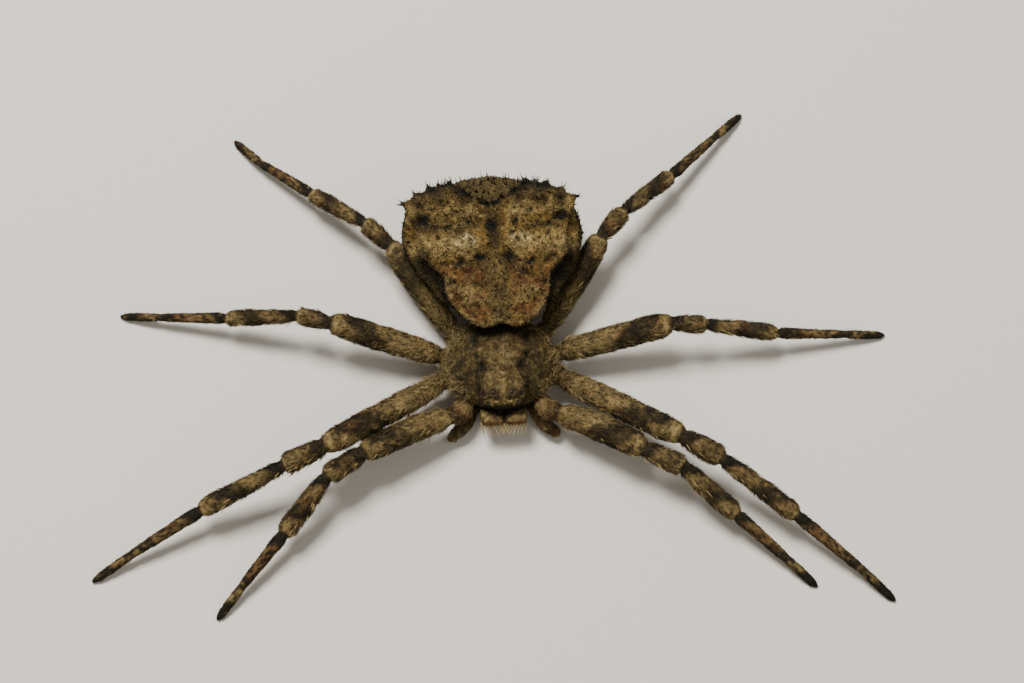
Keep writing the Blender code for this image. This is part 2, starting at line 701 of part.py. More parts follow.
def make_pedicel(place):
    """The short waist between the two halves of the body."""
    rings = []
    front, rear = PEDICEL_ENDS
    for share, scale in ((0.0, 1.0), (0.5, 0.8), (1.0, 1.0)):
        ring = []
        for i in range(LEG_SIDES):
            angle = 2.0 * math.pi * i / LEG_SIDES
            x = PEDICEL_HALF_WIDTH * scale * math.cos(angle)
            z = PEDICEL_HEIGHT + PEDICEL_HALF_HEIGHT * scale * math.sin(angle)
            ring.append(Vector((x, front + (rear - front) * share, z)))
        rings.append(ring)
    start = Vector((0.0, front, PEDICEL_HEIGHT))
    add_piece("pedicel", closed_mesh("pedicel", rings), "carapace", place(start))


def make_spinnerets(place):
    """Four short spinnerets on one mound, pointing back from under the abdomen's rear."""
    base = bend_abdomen(*SPINNERET_BASE)
    back = (bend_abdomen(0.0, 1.0, 0.0) - bend_abdomen(0.0, 0.0, 0.0)).normalized()
    aim = (back + Vector((0.0, 0.0, -0.25))).normalized()
    across = Vector((1.0, 0.0, 0.0))
    rise = across.cross(aim)
    mound = [(*(base + aim * step), radius) for step, radius in ((0.0, 0.5), (0.2, 0.52), (0.34, 0.42))]
    cones = []
    for x, z in ((1, 0.75), (-1, 0.75), (0.8, -0.75), (-0.8, -0.75)):
        root = base + (across * x + rise * z) * SPINNERET_SPREAD * 0.85 + aim * 0.1
        end = root + (aim + (across * x + rise * z) * 0.12) * SPINNERET_LENGTH
        stations = ((0.0, 1.0), (0.5, 0.95), (0.85, 0.7), (1.0, 0.4))
        cones.append(tube("cone", [(*root.lerp(end, s), SPINNERET_RADIUS * w) for s, w in stations], 7))
    data = combine(tube("spinnerets", mound, 9), cones, "UNION")
    add_piece("spinnerets", data, "carapace", place(base))


def stand_on_floor(parent):
    """Bring every piece to metres, with the floor's point under the middle of them all."""
    bpy.context.view_layer.update()
    pieces = [thing for thing in bpy.data.objects if thing.type == "MESH"]
    corners = [piece.matrix_world @ vert.co for piece in pieces for vert in piece.data.vertices]
    middle = [(min(p[i] for p in corners) + max(p[i] for p in corners)) / 2.0 for i in range(2)]
    lowest = min(p.z for p in corners)
    shift = Vector((-middle[0], -middle[1], -lowest))
    for piece in pieces:
        place = piece.matrix_world.copy()
        place.translation = (place.translation + shift) * MM
        piece.data.transform(Matrix.Scale(MM, 4))
        piece.parent = parent
        piece.matrix_world = place


def main():
    clear_scene()

    def place(point, axes=None):
        return axes.copy() if axes else Matrix.Translation(point)

    parent = bpy.data.objects.new("spider", None)
    bpy.context.scene.collection.objects.link(parent)
    make_head_and_eyes(place)
    make_abdomen(place)
    make_pedicel(place)
    make_spinnerets(place)
    make_mouthparts(place)
    for number, side in HEADINGS:
        make_leg(number, side, place)
    stand_on_floor(parent)


main()
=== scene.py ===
"""Looks of the still, life-size spider: its skin, coat, bristles, claws, eyes and the stage."""
import functools
import math
import random
from collections import namedtuple

import bpy
import numpy as np
from bpy.props import FloatProperty, FloatVectorProperty, IntProperty, PointerProperty
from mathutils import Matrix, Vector
from mathutils.bvhtree import BVHTree
from mathutils.kdtree import KDTree


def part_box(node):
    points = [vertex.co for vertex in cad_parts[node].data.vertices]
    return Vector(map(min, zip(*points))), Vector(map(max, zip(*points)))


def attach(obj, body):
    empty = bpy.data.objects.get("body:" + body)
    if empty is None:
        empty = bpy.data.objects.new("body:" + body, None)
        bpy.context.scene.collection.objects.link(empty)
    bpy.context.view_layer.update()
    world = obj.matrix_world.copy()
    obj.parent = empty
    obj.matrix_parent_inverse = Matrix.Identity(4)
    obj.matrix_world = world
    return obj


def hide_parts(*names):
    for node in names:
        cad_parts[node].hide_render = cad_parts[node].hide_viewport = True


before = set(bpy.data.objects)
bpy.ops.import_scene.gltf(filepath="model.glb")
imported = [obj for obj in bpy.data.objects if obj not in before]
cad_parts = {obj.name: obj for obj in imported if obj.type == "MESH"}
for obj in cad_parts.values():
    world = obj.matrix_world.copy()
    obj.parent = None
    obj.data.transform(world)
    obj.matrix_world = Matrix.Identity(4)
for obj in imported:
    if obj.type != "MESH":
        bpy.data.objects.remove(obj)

bl_info = {
    "name": "Spider looks",
    "version": (1, 0, 0),
    "blender": (4, 5, 0),
    "location": "3D View > Sidebar > Spider",
    "description": "Skin, coat, bristles, claws, eyes and stage of a still spider",
    "category": "Object",
}

MM = 0.001
SEED = 7
TURN = 2.0 * math.pi
UP = np.array([0.0, 0.0, 1.0])
SIDES = {"left": 1, "right": -1}

# The solids' named sizes, in millimetres round the middle of the carapace, with the head at -Y.
CARAPACE_HALF_WIDTH = 3.2
CARAPACE_REAR = 3.2
CARAPACE_FRONT = 2.4
CARAPACE_RIM_HEIGHT = 2.02
CARAPACE_DOME = 1.1
STERNUM_HALF_WIDTH = 1.35
STERNUM_HALF_LENGTH = 1.75
STERNUM_MIDDLE_Y = 0.2
STERNUM_LEVELS = ((0.3, 0.6), (0.6, 0.6), (0.95, 0.68), (1.05, 0.95), (1.08, 1.75))
RIM_LEVELS = ((0.6, 0.1), (0.9, 0.1), (0.97, 0.09), (0.99, 0.06), (1.0, 0.0))
RIDGE_HALF_WIDTHS = (
    (-2.5, 0.95), (-1.9, 1.22), (-1.2, 1.2), (-0.25, 0.82), (0.5, 1.25), (1.6, 1.3), (2.4, 1.0),
)
RIDGE_RISES = (
    (-2.5, 0.62), (-1.9, 0.55), (-1.2, 0.42), (-0.25, 0.16), (0.5, 0.24), (1.6, 0.2), (2.6, 0.0),
)
EYE_RIM_RISE = 0.17
EYE_RIM_RADIUS = 0.2
EYE_RIM_SPREAD = 0.07
ABDOMEN_MIDDLE_Y = 6.4
ABDOMEN_PIVOT_Y = 4.2
ABDOMEN_BEND = math.tan(math.radians(3.0))
SHIELD_OUTLINE = (
    (0.0, 2.15), (0.85, 1.9), (1.9, 2.45), (2.75, 3.6), (3.0, 4.9), (3.95, 6.0), (4.15, 7.5),
    (4.7, 9.0), (4.1, 9.45), (3.2, 9.85), (2.1, 10.05), (1.4, 9.65), (0.75, 9.3), (0.0, 9.0),
)
WALL_OUTLINE = (
    (0.0, 2.75), (1.5, 2.75), (2.9, 3.5), (3.9, 4.8), (4.85, 6.5), (5.1, 7.6), (4.6, 9.1),
    (3.4, 10.15), (2.0, 10.7), (0.0, 11.1),
)
LOW_OUTLINE = (
    (0.0, 3.7), (1.6, 3.85), (2.5, 4.8), (3.3, 6.4), (3.7, 7.8), (3.3, 9.2), (2.0, 10.0), (0.0, 10.2),
)
BELLY_OUTLINE = ((0.0, 4.2), (1.6, 4.5), (2.3, 6.0), (2.5, 7.5), (2.0, 8.9), (0.0, 9.4))
BELLY_HEIGHT = 0.7
LOW_HEIGHT = 1.7
WALL_HEIGHT = 3.1
LIP_DROP = 0.3
SHIELD_HEIGHTS = ((1.9, 4.0), (5.6, 4.5), (6.6, 4.72), (9.6, 4.85))
# Bumps and dips, alike left and right: middle across and along, spread across and along, rise.
SHIELD_BUMPS = (
    (1.35, 6.6, 0.6, 0.45, 0.22), (3.2, 6.5, 0.7, 0.5, 0.12), (2.6, 9.1, 1.1, 0.6, 0.3),
    (2.0, 4.0, 0.7, 0.8, 0.1), (0.78, 5.85, 0.22, 0.22, -0.16), (3.95, 8.0, 0.35, 0.35, -0.3),
    (2.3, 7.8, 1.2, 0.35, -0.14), (2.4, 5.5, 0.9, 0.25, -0.1), (0.0, 7.6, 0.5, 1.6, -0.26),
)
CARAPACE_BUMPS = (
    (1.12, -0.05, 0.2, 0.25, -0.16), (1.3, 0.5, 0.18, 0.22, 0.08), (0.62, -1.75, 0.3, 0.35, 0.06),
    (0.0, 1.0, 0.12, 0.6, -0.06),
)
CARAPACE_WARTS = (
    (1.25, 0.62, 0.1, 0.1, 0.1), (1.22, 1.15, 0.1, 0.1, 0.09), (0.78, -0.72, 0.14, 0.2, 0.07),
    (1.18, -1.3, 0.13, 0.13, 0.07), (0.62, -2.25, 0.16, 0.1, 0.06),
)
# Knobs of the abdomen, alike left and right: x, y, z, radius, height and lift in degrees.
KNOBS = (
    (4.65, 9.05, 4.5, 0.34, 0.3, 25), (4.0, 9.5, 4.6, 0.34, 0.26, 40), (3.25, 9.9, 4.65, 0.4, 0.34, 40),
    (2.1, 10.15, 4.55, 0.42, 0.38, 40), (1.2, 10.4, 4.0, 0.36, 0.28, 30), (0.45, 10.7, 3.8, 0.36, 0.26, 25),
    (2.75, 10.5, 3.5, 0.38, 0.26, 10), (4.7, 8.2, 3.9, 0.36, 0.24, 20), (4.6, 7.1, 3.8, 0.36, 0.22, 20),
    (3.9, 6.1, 4.25, 0.34, 0.26, 35), (1.45, 9.65, 5, 0.34, 0.2, 65), (0.78, 9.3, 5, 0.32, 0.2, 70),
    (0.2, 9.05, 5, 0.3, 0.18, 70), (1.35, 6.6, 5, 0.46, 0.22, 90), (2.7, 6.35, 5, 0.42, 0.16, 90),
    (2.85, 9.0, 5, 0.5, 0.26, 90), (1.6, 9.1, 5, 0.42, 0.2, 90), (3.85, 8.95, 5, 0.38, 0.18, 90),
    (1.15, 7.75, 5, 0.34, 0.12, 90), (2.5, 7.65, 5, 0.34, 0.12, 90), (1.9, 5.1, 5, 0.38, 0.13, 90),
    (2.3, 3.9, 5, 0.36, 0.13, 90), (1.2, 3.3, 5, 0.34, 0.12, 90),
)
# How high a knob stands, over its distance from the axis as a share of its radius.
KNOB_SLOPE = ((0.0, 1.0), (0.22, 0.92), (0.46, 0.65), (0.7, 0.3), (1.0, 0.05), (1.25, 0.0))
# A pair of legs: its root and hip on the left, then the lengths of the five segments, the heights of their
# far ends and their widths, how far the femur bows to the rear, and the width at the hip.
Pair = namedtuple("Pair", "coxa hip lengths heights widths bow hip_width")
PAIRS = {
    1: Pair((1.75, -1.3, 1.25), (2.42, -2.3, 1.62), (5.92, 2.45, 4.0, 3.67, 2.35),
            (2.5, 2.45, 1.45, 0.72, 0.1), (1.44, 1.26, 1.14, 0.84, 0.64), 0.14, 1.24),
    2: Pair((1.8, -0.2, 1.2), (2.95, -0.2, 1.3), (8.23, 2.59, 5.24, 4.54, 2.71),
            (3.0, 2.9, 1.65, 0.75, 0.1), (1.42, 1.28, 1.14, 0.84, 0.64), 0.0, 1.12),
    3: Pair((1.8, 0.9, 1.2), (2.95, 1.0, 1.3), (6.78, 2.02, 4.19, 3.89, 2.38),
            (2.7, 2.55, 1.45, 0.7, 0.1), (1.42, 1.04, 0.96, 0.74, 0.6), 0.0, 1.05),
    4: Pair((1.6, 1.95, 1.15), (2.5, 2.3, 1.3), (6.19, 2.07, 3.79, 3.71, 2.28),
            (2.25, 2.25, 1.4, 0.7, 0.1), (1.32, 1.06, 0.96, 0.74, 0.6), 0.0, 1.05),
}
# Where a leg's five segments head, seen from above, in degrees from +X towards +Y.
HEADINGS = {
    (1, "right"): (-157, -149, -131, -132, -131), (1, "left"): (-28, -29, -42, -43, -43),
    (2, "right"): (-150, -156, -157, -152, -150), (2, "left"): (-33, -32, -38, -41, -44),
    (3, "right"): (163, 164, 174, 173, 171), (3, "left"): (9, -3, -5, 0, 1),
    (4, "right"): (123, 135, 143, 142, 132), (4, "left"): (56, 49, 39, 43, 43),
}
LEG_FLATNESS = 0.82
COXA_WIDTH = 0.8
# Widths of the five segments of a leg, each as (place, share of the full width) from joint to joint.
PROFILES = (
    ((0.14, 0.8), (0.26, 0.94), (0.45, 1.0), (0.7, 1.0), (0.93, 0.98), (0.98, 0.86), (1.0, 0.74)),
    ((0.0, 0.7), (0.06, 0.72), (0.3, 0.88), (0.8, 1.0), (0.92, 0.98), (0.97, 0.88), (1.0, 0.74)),
    ((0.0, 0.68), (0.04, 0.7), (0.15, 0.8), (0.5, 0.95), (0.88, 1.0), (0.95, 0.97), (0.98, 0.86),
     (1.0, 0.74)),
    ((0.0, 0.82), (0.04, 0.86), (0.12, 0.94), (0.55, 0.82), (0.95, 0.72), (1.0, 0.66)),
    ((0.0, 0.8), (0.1, 0.86), (0.2, 0.9), (0.6, 0.88), (0.86, 0.8), (0.96, 0.6), (1.0, 0.3)),
)
LEG_SIDES = 28
LEG_STEP = 0.145
LUMP_END = 0.11
HIP_PINCH = 0.2
HIP_REACH = 0.15
# How much of its width a leg loses at each joint.
JOINT_PINCHES = ((1, 0.1), (2, 0.1), (3, 0.1), (4, 0.02))
JOINT_REACH = 0.06
JOINT_SHIFT = 0.07
LOWEST = 0.012
# Rings of a jaw from the bottom up: height, middle across and along, half width and half depth.
CHELICERA_RINGS = (
    (0.62, 0.62, -2.42, 0.3, 0.32), (0.8, 0.64, -2.42, 0.5, 0.48), (1.2, 0.69, -2.46, 0.62, 0.58),
    (1.6, 0.71, -2.52, 0.66, 0.61), (1.82, 0.71, -2.54, 0.62, 0.55), (1.93, 0.71, -2.58, 0.48, 0.4),
)
JAW_POWER = 5.0
JAW_CLOSING = 0.06
CHELICERA_SLANT = 0.28
# Paths as rows of x, y, z and radius.
PALP_PATH = (
    (1.4, -1.66, 0.78, 0.22), (1.72, -2.12, 0.74, 0.26), (2.02, -2.64, 0.78, 0.31),
    (2.36, -2.98, 0.8, 0.35), (2.66, -3.2, 0.68, 0.33), (2.9, -3.36, 0.52, 0.28),
    (3.0, -3.44, 0.44, 0.16), (3.03, -3.46, 0.42, 0.07),
)
PALP_INSET = 0.03
PEDICEL_PATH = ((0.0, 2.2, 1.42, 0.4), (0.0, 2.9, 1.42, 0.32), (0.0, 3.9, 1.42, 0.42))
SPINNERET_BASE = (0.0, 10.3, 1.25)
SPINNERET_MOUND = ((-0.5, 0.6), (0.0, 0.5), (0.2, 0.5), (0.34, 0.4))
SPINNERET_CONE = ((0.0, 1.0), (0.35, 0.97), (0.7, 0.85), (0.92, 0.6), (1.0, 0.3))
SPINNERET_PLACES = ((1, 0.75), (-1, 0.75), (0.8, -0.75), (-0.8, -0.75))
SPINNERET_LENGTH = 0.62
SPINNERET_RADIUS = 0.25
SPINNERET_SPREAD = 0.23

# Each ring of a hair has three points; the last point of its path is its tip.
RING_SIDES = 3
PATCH = 0.003
REAR_SPINES = 46
# A coat's style: turn aside in radians, ranges of length and of lift in degrees, how far the lift is lost
# on the way, curl in radians, range of width, shares of pale and dark hairs, and points in a path.
Style = namedtuple("Style", "turn long lift bend curl wide pale dark points", defaults=(0.3, 0.08, 3))
ABDOMEN_STYLE = Style(0.9, (0.6, 1.15), (8.0, 40.0), (0.6, 2.0), 0.9, (0.7, 1.2))
RIM_STYLE = ABDOMEN_STYLE._replace(turn=0.4)
CARAPACE_STYLE = Style(0.7, (0.45, 0.95), (5.0, 35.0), 1.2, 0.7, (0.7, 1.1), dark=0.16)
LEG_STYLE = Style(0.38, (0.6, 1.1), (6.0, 26.0), 0.9, 0.35, (0.6, 1.05), dark=0.14)
SMALL_STYLE = Style(0.5, (0.5, 1.0), (8.0, 35.0), 1.2, 0.5, (0.6, 1.0))
LONG_STYLE = Style(0.7, (0.35, 1.1), (5.0, 30.0), 1.8, 1.3, (0.035, 0.06), 0.35, 0.12, 5)
FRINGE_COUNT = 16
FRINGE_HALF_WIDTH = 1.25
FRINGE_FRONT = -3.0
FRINGE_HEIGHT = 1.66
FRINGE_WIDTH = 0.14
EDGE_BRISTLE_WIDTH = 0.065
CLAW_WIDTH = 0.07
# How far ahead of a leg's tip, aside and above it a claw runs.
CLAW_PATH = ((-0.22, 0.06, 0.1), (-0.1, 0.06, 0.15), (-0.02, 0.09, 0.1), (0.02, 0.06, 0.03))


def tint(red, green, blue):
    """A colour given in 0 to 255 steps, as the light values that shading works in."""
    steps = np.array([red, green, blue]) / 255.0
    return tuple(np.where(steps <= 0.04045, steps / 12.92, ((steps + 0.055) / 1.055) ** 2.4))


def colour_of(name, words, shade):
    return FloatVectorProperty(name=name, description=words, subtype="COLOR", size=3, default=tint(*shade),
                               min=0.0, max=1.0)


def millimetres(name, words, size):
    return FloatProperty(name=name, description=words, default=size * MM, min=0.0, unit="LENGTH",
                         precision=5)


def number_of(name, words, count):
    return IntProperty(name=name, description=words, default=count, min=0)


def setting(name, words, value, kind="NONE"):
    return FloatProperty(name=name, description=words, default=value, unit=kind)


class SpiderColours(bpy.types.PropertyGroup):
    """Colours of the skin and coat."""

    ochre: colour_of("Ochre", "Ground colour of the abdomen's shield", (108, 83, 34))
    straw: colour_of("Straw", "Pale hairs and rims", (160, 137, 88))
    pale: colour_of("Pale", "The two pale spots", (190, 174, 126))
    umber: colour_of("Umber", "Dark mottling", (52, 38, 12))
    # Soot also paints shade: the shadow under the shield's front edge, under the brow, on the jaws' tops and
    # in the groove behind the first legs' hip lumps.
    soot: colour_of("Soot", "Darkest spots and bristles", (14, 12, 5))
    olive: colour_of("Olive", "Flanks of the carapace and walls of the abdomen", (56, 46, 18))
    ash: colour_of("Ash", "Grey stripe of the shield and its rear slope", (80, 66, 37))
    rust: colour_of("Rust", "Reddish patches at the front of the shield", (92, 50, 28))
    bark: colour_of("Bark", "Ground colour of the legs and ridge", (90, 74, 44))


class SpiderSizes(bpy.types.PropertyGroup):
    """Sizes of the skin and coat."""

    coat_depth: millimetres("Coat depth", "How far the skin lies inside the solids", 0.04)
    wart_height: millimetres("Wart height", "Height of the small warts under the bristles", 0.07)
    hair_length: millimetres("Hair length", "Length of the short hairs of the body", 0.28)
    hair_width: millimetres("Hair width", "Width of a short hair at its root", 0.08)
    bristle_length: millimetres("Bristle length", "Length of the dark bristles on the warts", 0.3)
    bristle_width: millimetres("Bristle width", "Width of a dark bristle at its root", 0.085)
    rim_hairs: number_of("Rim hairs", "Hairs round the shield's rim", 2200)
    long_hairs: number_of("Long hairs", "Long hairs at each leg's base", 300)
    shield_hairs: number_of("Shield hairs", "Hairs on the shield", 11000)
    wall_hairs: number_of("Wall hairs", "Hairs round the abdomen", 11000)
    carapace_hairs: number_of("Carapace hairs", "Hairs on the carapace", 6000)
    leg_hairs: number_of("Leg hairs", "Hairs on each leg", 7000)
    warts: number_of("Warts", "Small warts on the shield", 230)


class SpiderStage(bpy.types.PropertyGroup):
    """Floor, lights and camera."""

    floor: colour_of("Floor", "Colour of the floor", (214, 208, 196))
    key_light: setting("Key light", "Strength of the main light", 1.5, "POWER")
    fill_light: setting("Fill light", "Strength of the soft light", 0.35, "POWER")
    room_light: setting("Room light", "Strength of the light all round", 0.26)
    azimuth: setting("Azimuth", "Camera's turn round the spider", math.radians(-2.7), "ROTATION")
    elevation: setting("Elevation", "Camera's angle above the floor", math.radians(72.0), "ROTATION")
    distance: millimetres("Distance", "From the camera to the spider", 255.0)
    lens: setting("Lens", "Focal length of the camera", 160.0, "CAMERA")


def to_frame(points):
    """Places round the middle of the carapace, in metres in the shared frame."""
    low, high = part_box("cephalothorax")
    return np.asarray(points) * MM + np.array([(low.x + high.x) / 2.0, low.y + CARAPACE_FRONT * MM, 0.0])


def unit(vectors):
    return vectors / np.maximum(np.linalg.norm(vectors, axis=-1, keepdims=True), 1e-12)


def stacked(*values):
    return np.stack(np.broadcast_arrays(*values), axis=-1)


def circle(count):
    return TURN * np.arange(count) / count


def ease(low, high, value):
    share = np.clip((value - low) / (high - low), 0.0, 1.0)
    return share * share * (3.0 - 2.0 * share)


def stretch(start, full, last, end, value):
    """Rises from start to full and falls again from last to end."""
    return ease(start, full, value) * ease(end, last, value)


def bell(*aways):
    return np.exp(-0.5 * sum(away * away for away in aways))


def between(table, value):
    """Read a table of (place, number) pairs, easing from one number to the next."""
    value = np.asarray(value, float)
    result = np.full(value.shape, float(table[0][1]))
    for (low, first), (high, second) in zip(table, table[1:]):
        result += (second - first) * ease(low, high, value)
    return result


def rounded(value, power):
    return np.copysign(np.abs(value) ** (2.0 / power), value)


def dots(table, x, y):
    """Soft dots on both sides of the midline, from rows of middle, spread and strength."""
    for middle_x, middle_y, across, along, strength in table:
        yield strength * bell((np.abs(x) - middle_x) / across, (y - middle_y) / along)


def scramble(x, y, z, seed):
    """A number from 0 to 1 for each whole-numbered place."""
    mixed = x * np.uint32(374761393) ^ y * np.uint32(668265263) ^ z * np.uint32(2246822519)
    mixed = (mixed ^ np.uint32(seed * 7919 + 17)) * np.uint32(1274126177)
    mixed = (mixed ^ (mixed >> np.uint32(13))) * np.uint32(2654435761)
    return (mixed ^ (mixed >> np.uint32(16))).astype(float) / 4294967295.0


def grain(points, size, seed):
    """Soft random lumps from 0 to 1, each about size across."""
    places = np.asarray(points) / size
    cells = np.floor(places)
    shares = ease(0.0, 1.0, places - cells)
    cells = cells.astype(np.int64).astype(np.uint32)
    total = np.zeros(places.shape[:-1])
    for corner in range(8):
        steps = [(corner >> axis) & 1 for axis in range(3)]
        weight = np.ones_like(total)
        for axis, step in enumerate(steps):
            weight = weight * (shares[..., axis] if step else 1.0 - shares[..., axis])
        spots = [cells[..., axis] + np.uint32(step) for axis, step in enumerate(steps)]
        total += weight * scramble(*spots, seed)
    return total


def lumps(points, large, small, seed, share=0.6):
    """Random lumps in two sizes, about level on the whole."""
    return grain(points, large, seed) + share * grain(points, small, seed + 1) - (1.0 + share) / 2.0


class Outline:
    """A closed outline of the abdomen, alike left and right, as a smooth radius round its middle."""

    def __init__(self, points):
        places = [(x, y - ABDOMEN_MIDDLE_Y) for x, y in points]
        rows = sorted((math.atan2(y, x), math.hypot(x, y)) for x, y in places)
        self.angles = np.linspace(rows[0][0], rows[-1][0], 721)
        self.radii = []
        for angle in self.angles:
            place = 0
            while place < len(rows) - 2 and angle > rows[place + 1][0]:
                place += 1
            before, low, high, after = (rows[min(max(place + i, 0), len(rows) - 1)] for i in range(-1, 3))
            span = high[0] - low[0]
            slope_low = (high[1] - before[1]) / (high[0] - before[0]) if before is not low else 0.0
            slope_high = (after[1] - low[1]) / (after[0] - low[0]) if after is not high else 0.0
            t = (angle - low[0]) / span
            self.radii.append(
                low[1] * (2 * t ** 3 - 3 * t ** 2 + 1) + slope_low * span * (t ** 3 - 2 * t ** 2 + t)
                + high[1] * (3 * t ** 2 - 2 * t ** 3) + slope_high * span * (t ** 3 - t ** 2)
            )

    def point(self, angles, scale=1.0):
        radius = np.interp(np.arcsin(np.sin(angles)), self.angles, self.radii) * scale
        return radius * np.cos(angles), ABDOMEN_MIDDLE_Y + radius * np.sin(angles)


def ring_quads(rings, count):
    """The corners of each face between neighbouring rings."""
    ring, column = np.meshgrid(np.arange(rings - 1), np.arange(count), indexing="ij")
    here = ring * count + column
    beside = ring * count + (column + 1) % count
    return stacked(here, beside, beside + count, here + count).reshape(-1, 4)


Roots = namedtuple("Roots", "points around along out chart facts kind")


class Grid:
    """A surface of rings: its points, its chart on the coat's map, and facts that its markings read."""

    def __init__(self, kind, points, chart, facts):
        self.kind = kind
        self.points = points
        self.chart = chart
        self.facts = facts

    def directions(self):
        """Unit directions round the rings, along them and out of the surface."""
        around = np.roll(self.points, -1, axis=1) - np.roll(self.points, 1, axis=1)
        along = np.gradient(self.points, axis=0)
        return unit(around), unit(along), unit(np.cross(around, along))

    def swell(self, amount):
        self.points = self.points + self.directions()[2] * np.asarray(amount)[..., None]

    def faces(self, first):
        low, high = self.chart[:-1], self.chart[1:]
        charts = np.stack([low[:, :-1], low[:, 1:], high[:, 1:], high[:, :-1]], axis=2)
        return ring_quads(*self.points.shape[:2]) + first, charts.reshape(-1, 4, 2)

    def caps(self, first, middle):
        """Triangles that close both ends, round the two points that follow middle."""
        rings, count = self.points.shape[:2]
        column = np.arange(count)
        after = (column + 1) % count
        top = (rings - 1) * count
        low = stacked(after, column, middle - first)
        high = stacked(top + column, top + after, middle + 1 - first)
        charts = []
        for edge, order in ((self.chart[0], -1), (self.chart[-1], 1)):
            corners = [edge[:-1], edge[1:]][::order]
            charts.append(np.stack([*corners, np.broadcast_to(edge.mean(axis=0), (count, 2))], axis=1))
        return np.concatenate([low, high]) + first, np.concatenate(charts)

    def scatter(self, count, draw, weigh=None):
        """Roots spread over the surface, with their directions, places on the chart and facts."""
        points, facts = self.points, self.facts
        right = np.roll(points, -1, axis=1)
        areas = np.linalg.norm(np.cross(right[:-1] - points[:-1], points[1:] - points[:-1]), axis=-1)
        if weigh is not None:
            areas = areas * weigh(points[:-1], facts[:-1])
        areas = areas.ravel()
        chosen = draw.choice(len(areas), size=count, p=areas / areas.sum())
        ring, column = np.divmod(chosen, points.shape[1])
        up = draw.random((count, 1))
        side = draw.random((count, 1))
        after = (column + 1) % points.shape[1]

        def spread(values, last):
            low = values[ring, column] * (1.0 - side) + values[ring, last] * side
            high = values[ring + 1, column] * (1.0 - side) + values[ring + 1, last] * side
            return low * (1.0 - up) + high * up

        ways = [unit(spread(way, after)) for way in self.directions()]
        return Roots(spread(points, after), *ways, spread(self.chart, column + 1), spread(facts, after),
                     self.kind)


def surface_reach(points):
    """How far each ring lies from the first one along the surface."""
    steps = np.linalg.norm(np.diff(points, axis=0), axis=-1).mean(axis=1)
    return np.concatenate([[0.0], np.cumsum(steps)])


def disc_chart(points, middle, radius, inward):
    """Lay a bowl of rings flat as a disc, with each ring as far out as it is along the surface."""
    reach = surface_reach(points)
    if inward:
        reach = reach[-1] - reach
    reach = 0.02 + 0.98 * reach / reach.max()
    angles = np.linspace(0.0, TURN, points.shape[1] + 1)
    return np.array(middle) + stacked(np.cos(angles), np.sin(angles)) * reach[:, None, None] * radius


def bowl_grid(kind, rings, places, low_disc, high_disc, first_top, straight=None):
    """A closed body of rings, charted as a disc for its lower rings and one for its upper rings."""
    chart = np.concatenate([disc_chart(rings[:first_top], *low_disc, False),
                            disc_chart(rings[first_top:], *high_disc, True)])
    return Grid(kind, rings, chart, with_places(rings if straight is None else straight, places))


def with_places(points, places):
    return np.concatenate([points, np.broadcast_to(places[:, None, None], (*points.shape[:2], 1))], axis=-1)


def strip_chart(points, corner, width, height):
    """Lay a tube of rings flat as a strip."""
    reach = surface_reach(points)
    across = np.linspace(0.0, height, points.shape[1] + 1)
    return stacked(corner[0] + width * (reach / reach[-1])[:, None], corner[1] + across[None])


def bend_abdomen(points):
    """Slide places on the straight abdomen to the right, the more the further they lie behind the waist."""
    bent = points.copy()
    bent[..., 0] -= (points[..., 1] - ABDOMEN_PIVOT_Y) * ABDOMEN_BEND
    return bent


def shield_height(x, y):
    height = between(SHIELD_HEIGHTS, y)
    height = height - 0.3 * ease(0.6, 3.4, np.abs(x)) * (1.0 - ease(3.0, 6.5, y))
    height = height - 0.35 * (1.0 - ease(0.0, 3.0, np.abs(x))) * ease(8.4, 9.6, y)
    return height + sum(dots(SHIELD_BUMPS, x, y))


def smooth_rings(rings, steps):
    """Add rings between the given ones, along smooth curves through their points."""
    smoothed = []
    for i in range(len(rings) - 1):
        a, b, c, d = (rings[min(max(i + j, 0), len(rings) - 1)] for j in range(-1, 3))
        for t in np.arange(steps) / steps:
            smoothed.append((b * 2.0 + (c - a) * t + (a * 2.0 - b * 5.0 + c * 4.0 - d) * t ** 2
                             + (b * 3.0 - a - c * 3.0 + d) * t ** 3) * 0.5)
    return smoothed + [rings[-1]]


def straight_abdomen(sides, steps, shield_steps):
    """The abdomen's rings before the waist's bend, and how far each lies up the wall or in the shield."""
    belly, low, wall, shield = map(Outline, (BELLY_OUTLINE, LOW_OUTLINE, WALL_OUTLINE, SHIELD_OUTLINE))
    angles = circle(sides)

    def level(outline, scale, height):
        return stacked(*outline.point(angles, scale), height)

    top = shield_height(*shield.point(angles))
    edge = level(shield, 1.0, top - LIP_DROP)
    bulge = level(wall, 1.0, WALL_HEIGHT)
    keys = [level(belly, 0.1, BELLY_HEIGHT), level(belly, 0.55, BELLY_HEIGHT),
            level(belly, 1.0, BELLY_HEIGHT + 0.2), level(low, 1.0, LOW_HEIGHT), level(wall, 0.9, 2.5), bulge,
            (bulge + edge) / 2.0, edge]
    rings = smooth_rings(keys, steps)
    places = list(np.linspace(-1.0, 0.0, len(rings)))
    for share, scale in ((0.3, 1.0), (0.6, 1.0), (0.85, 0.996), (1.0, 0.985)):
        rings.append(level(shield, scale, top - LIP_DROP * (1.0 - share)))
        places.append(0.01)
    for scale in np.linspace(0.97, 0.012, shield_steps):
        rings.append(level(shield, scale, shield_height(*shield.point(angles, scale))))
        places.append(1.0 - scale)
    return np.array(rings), np.array(places)


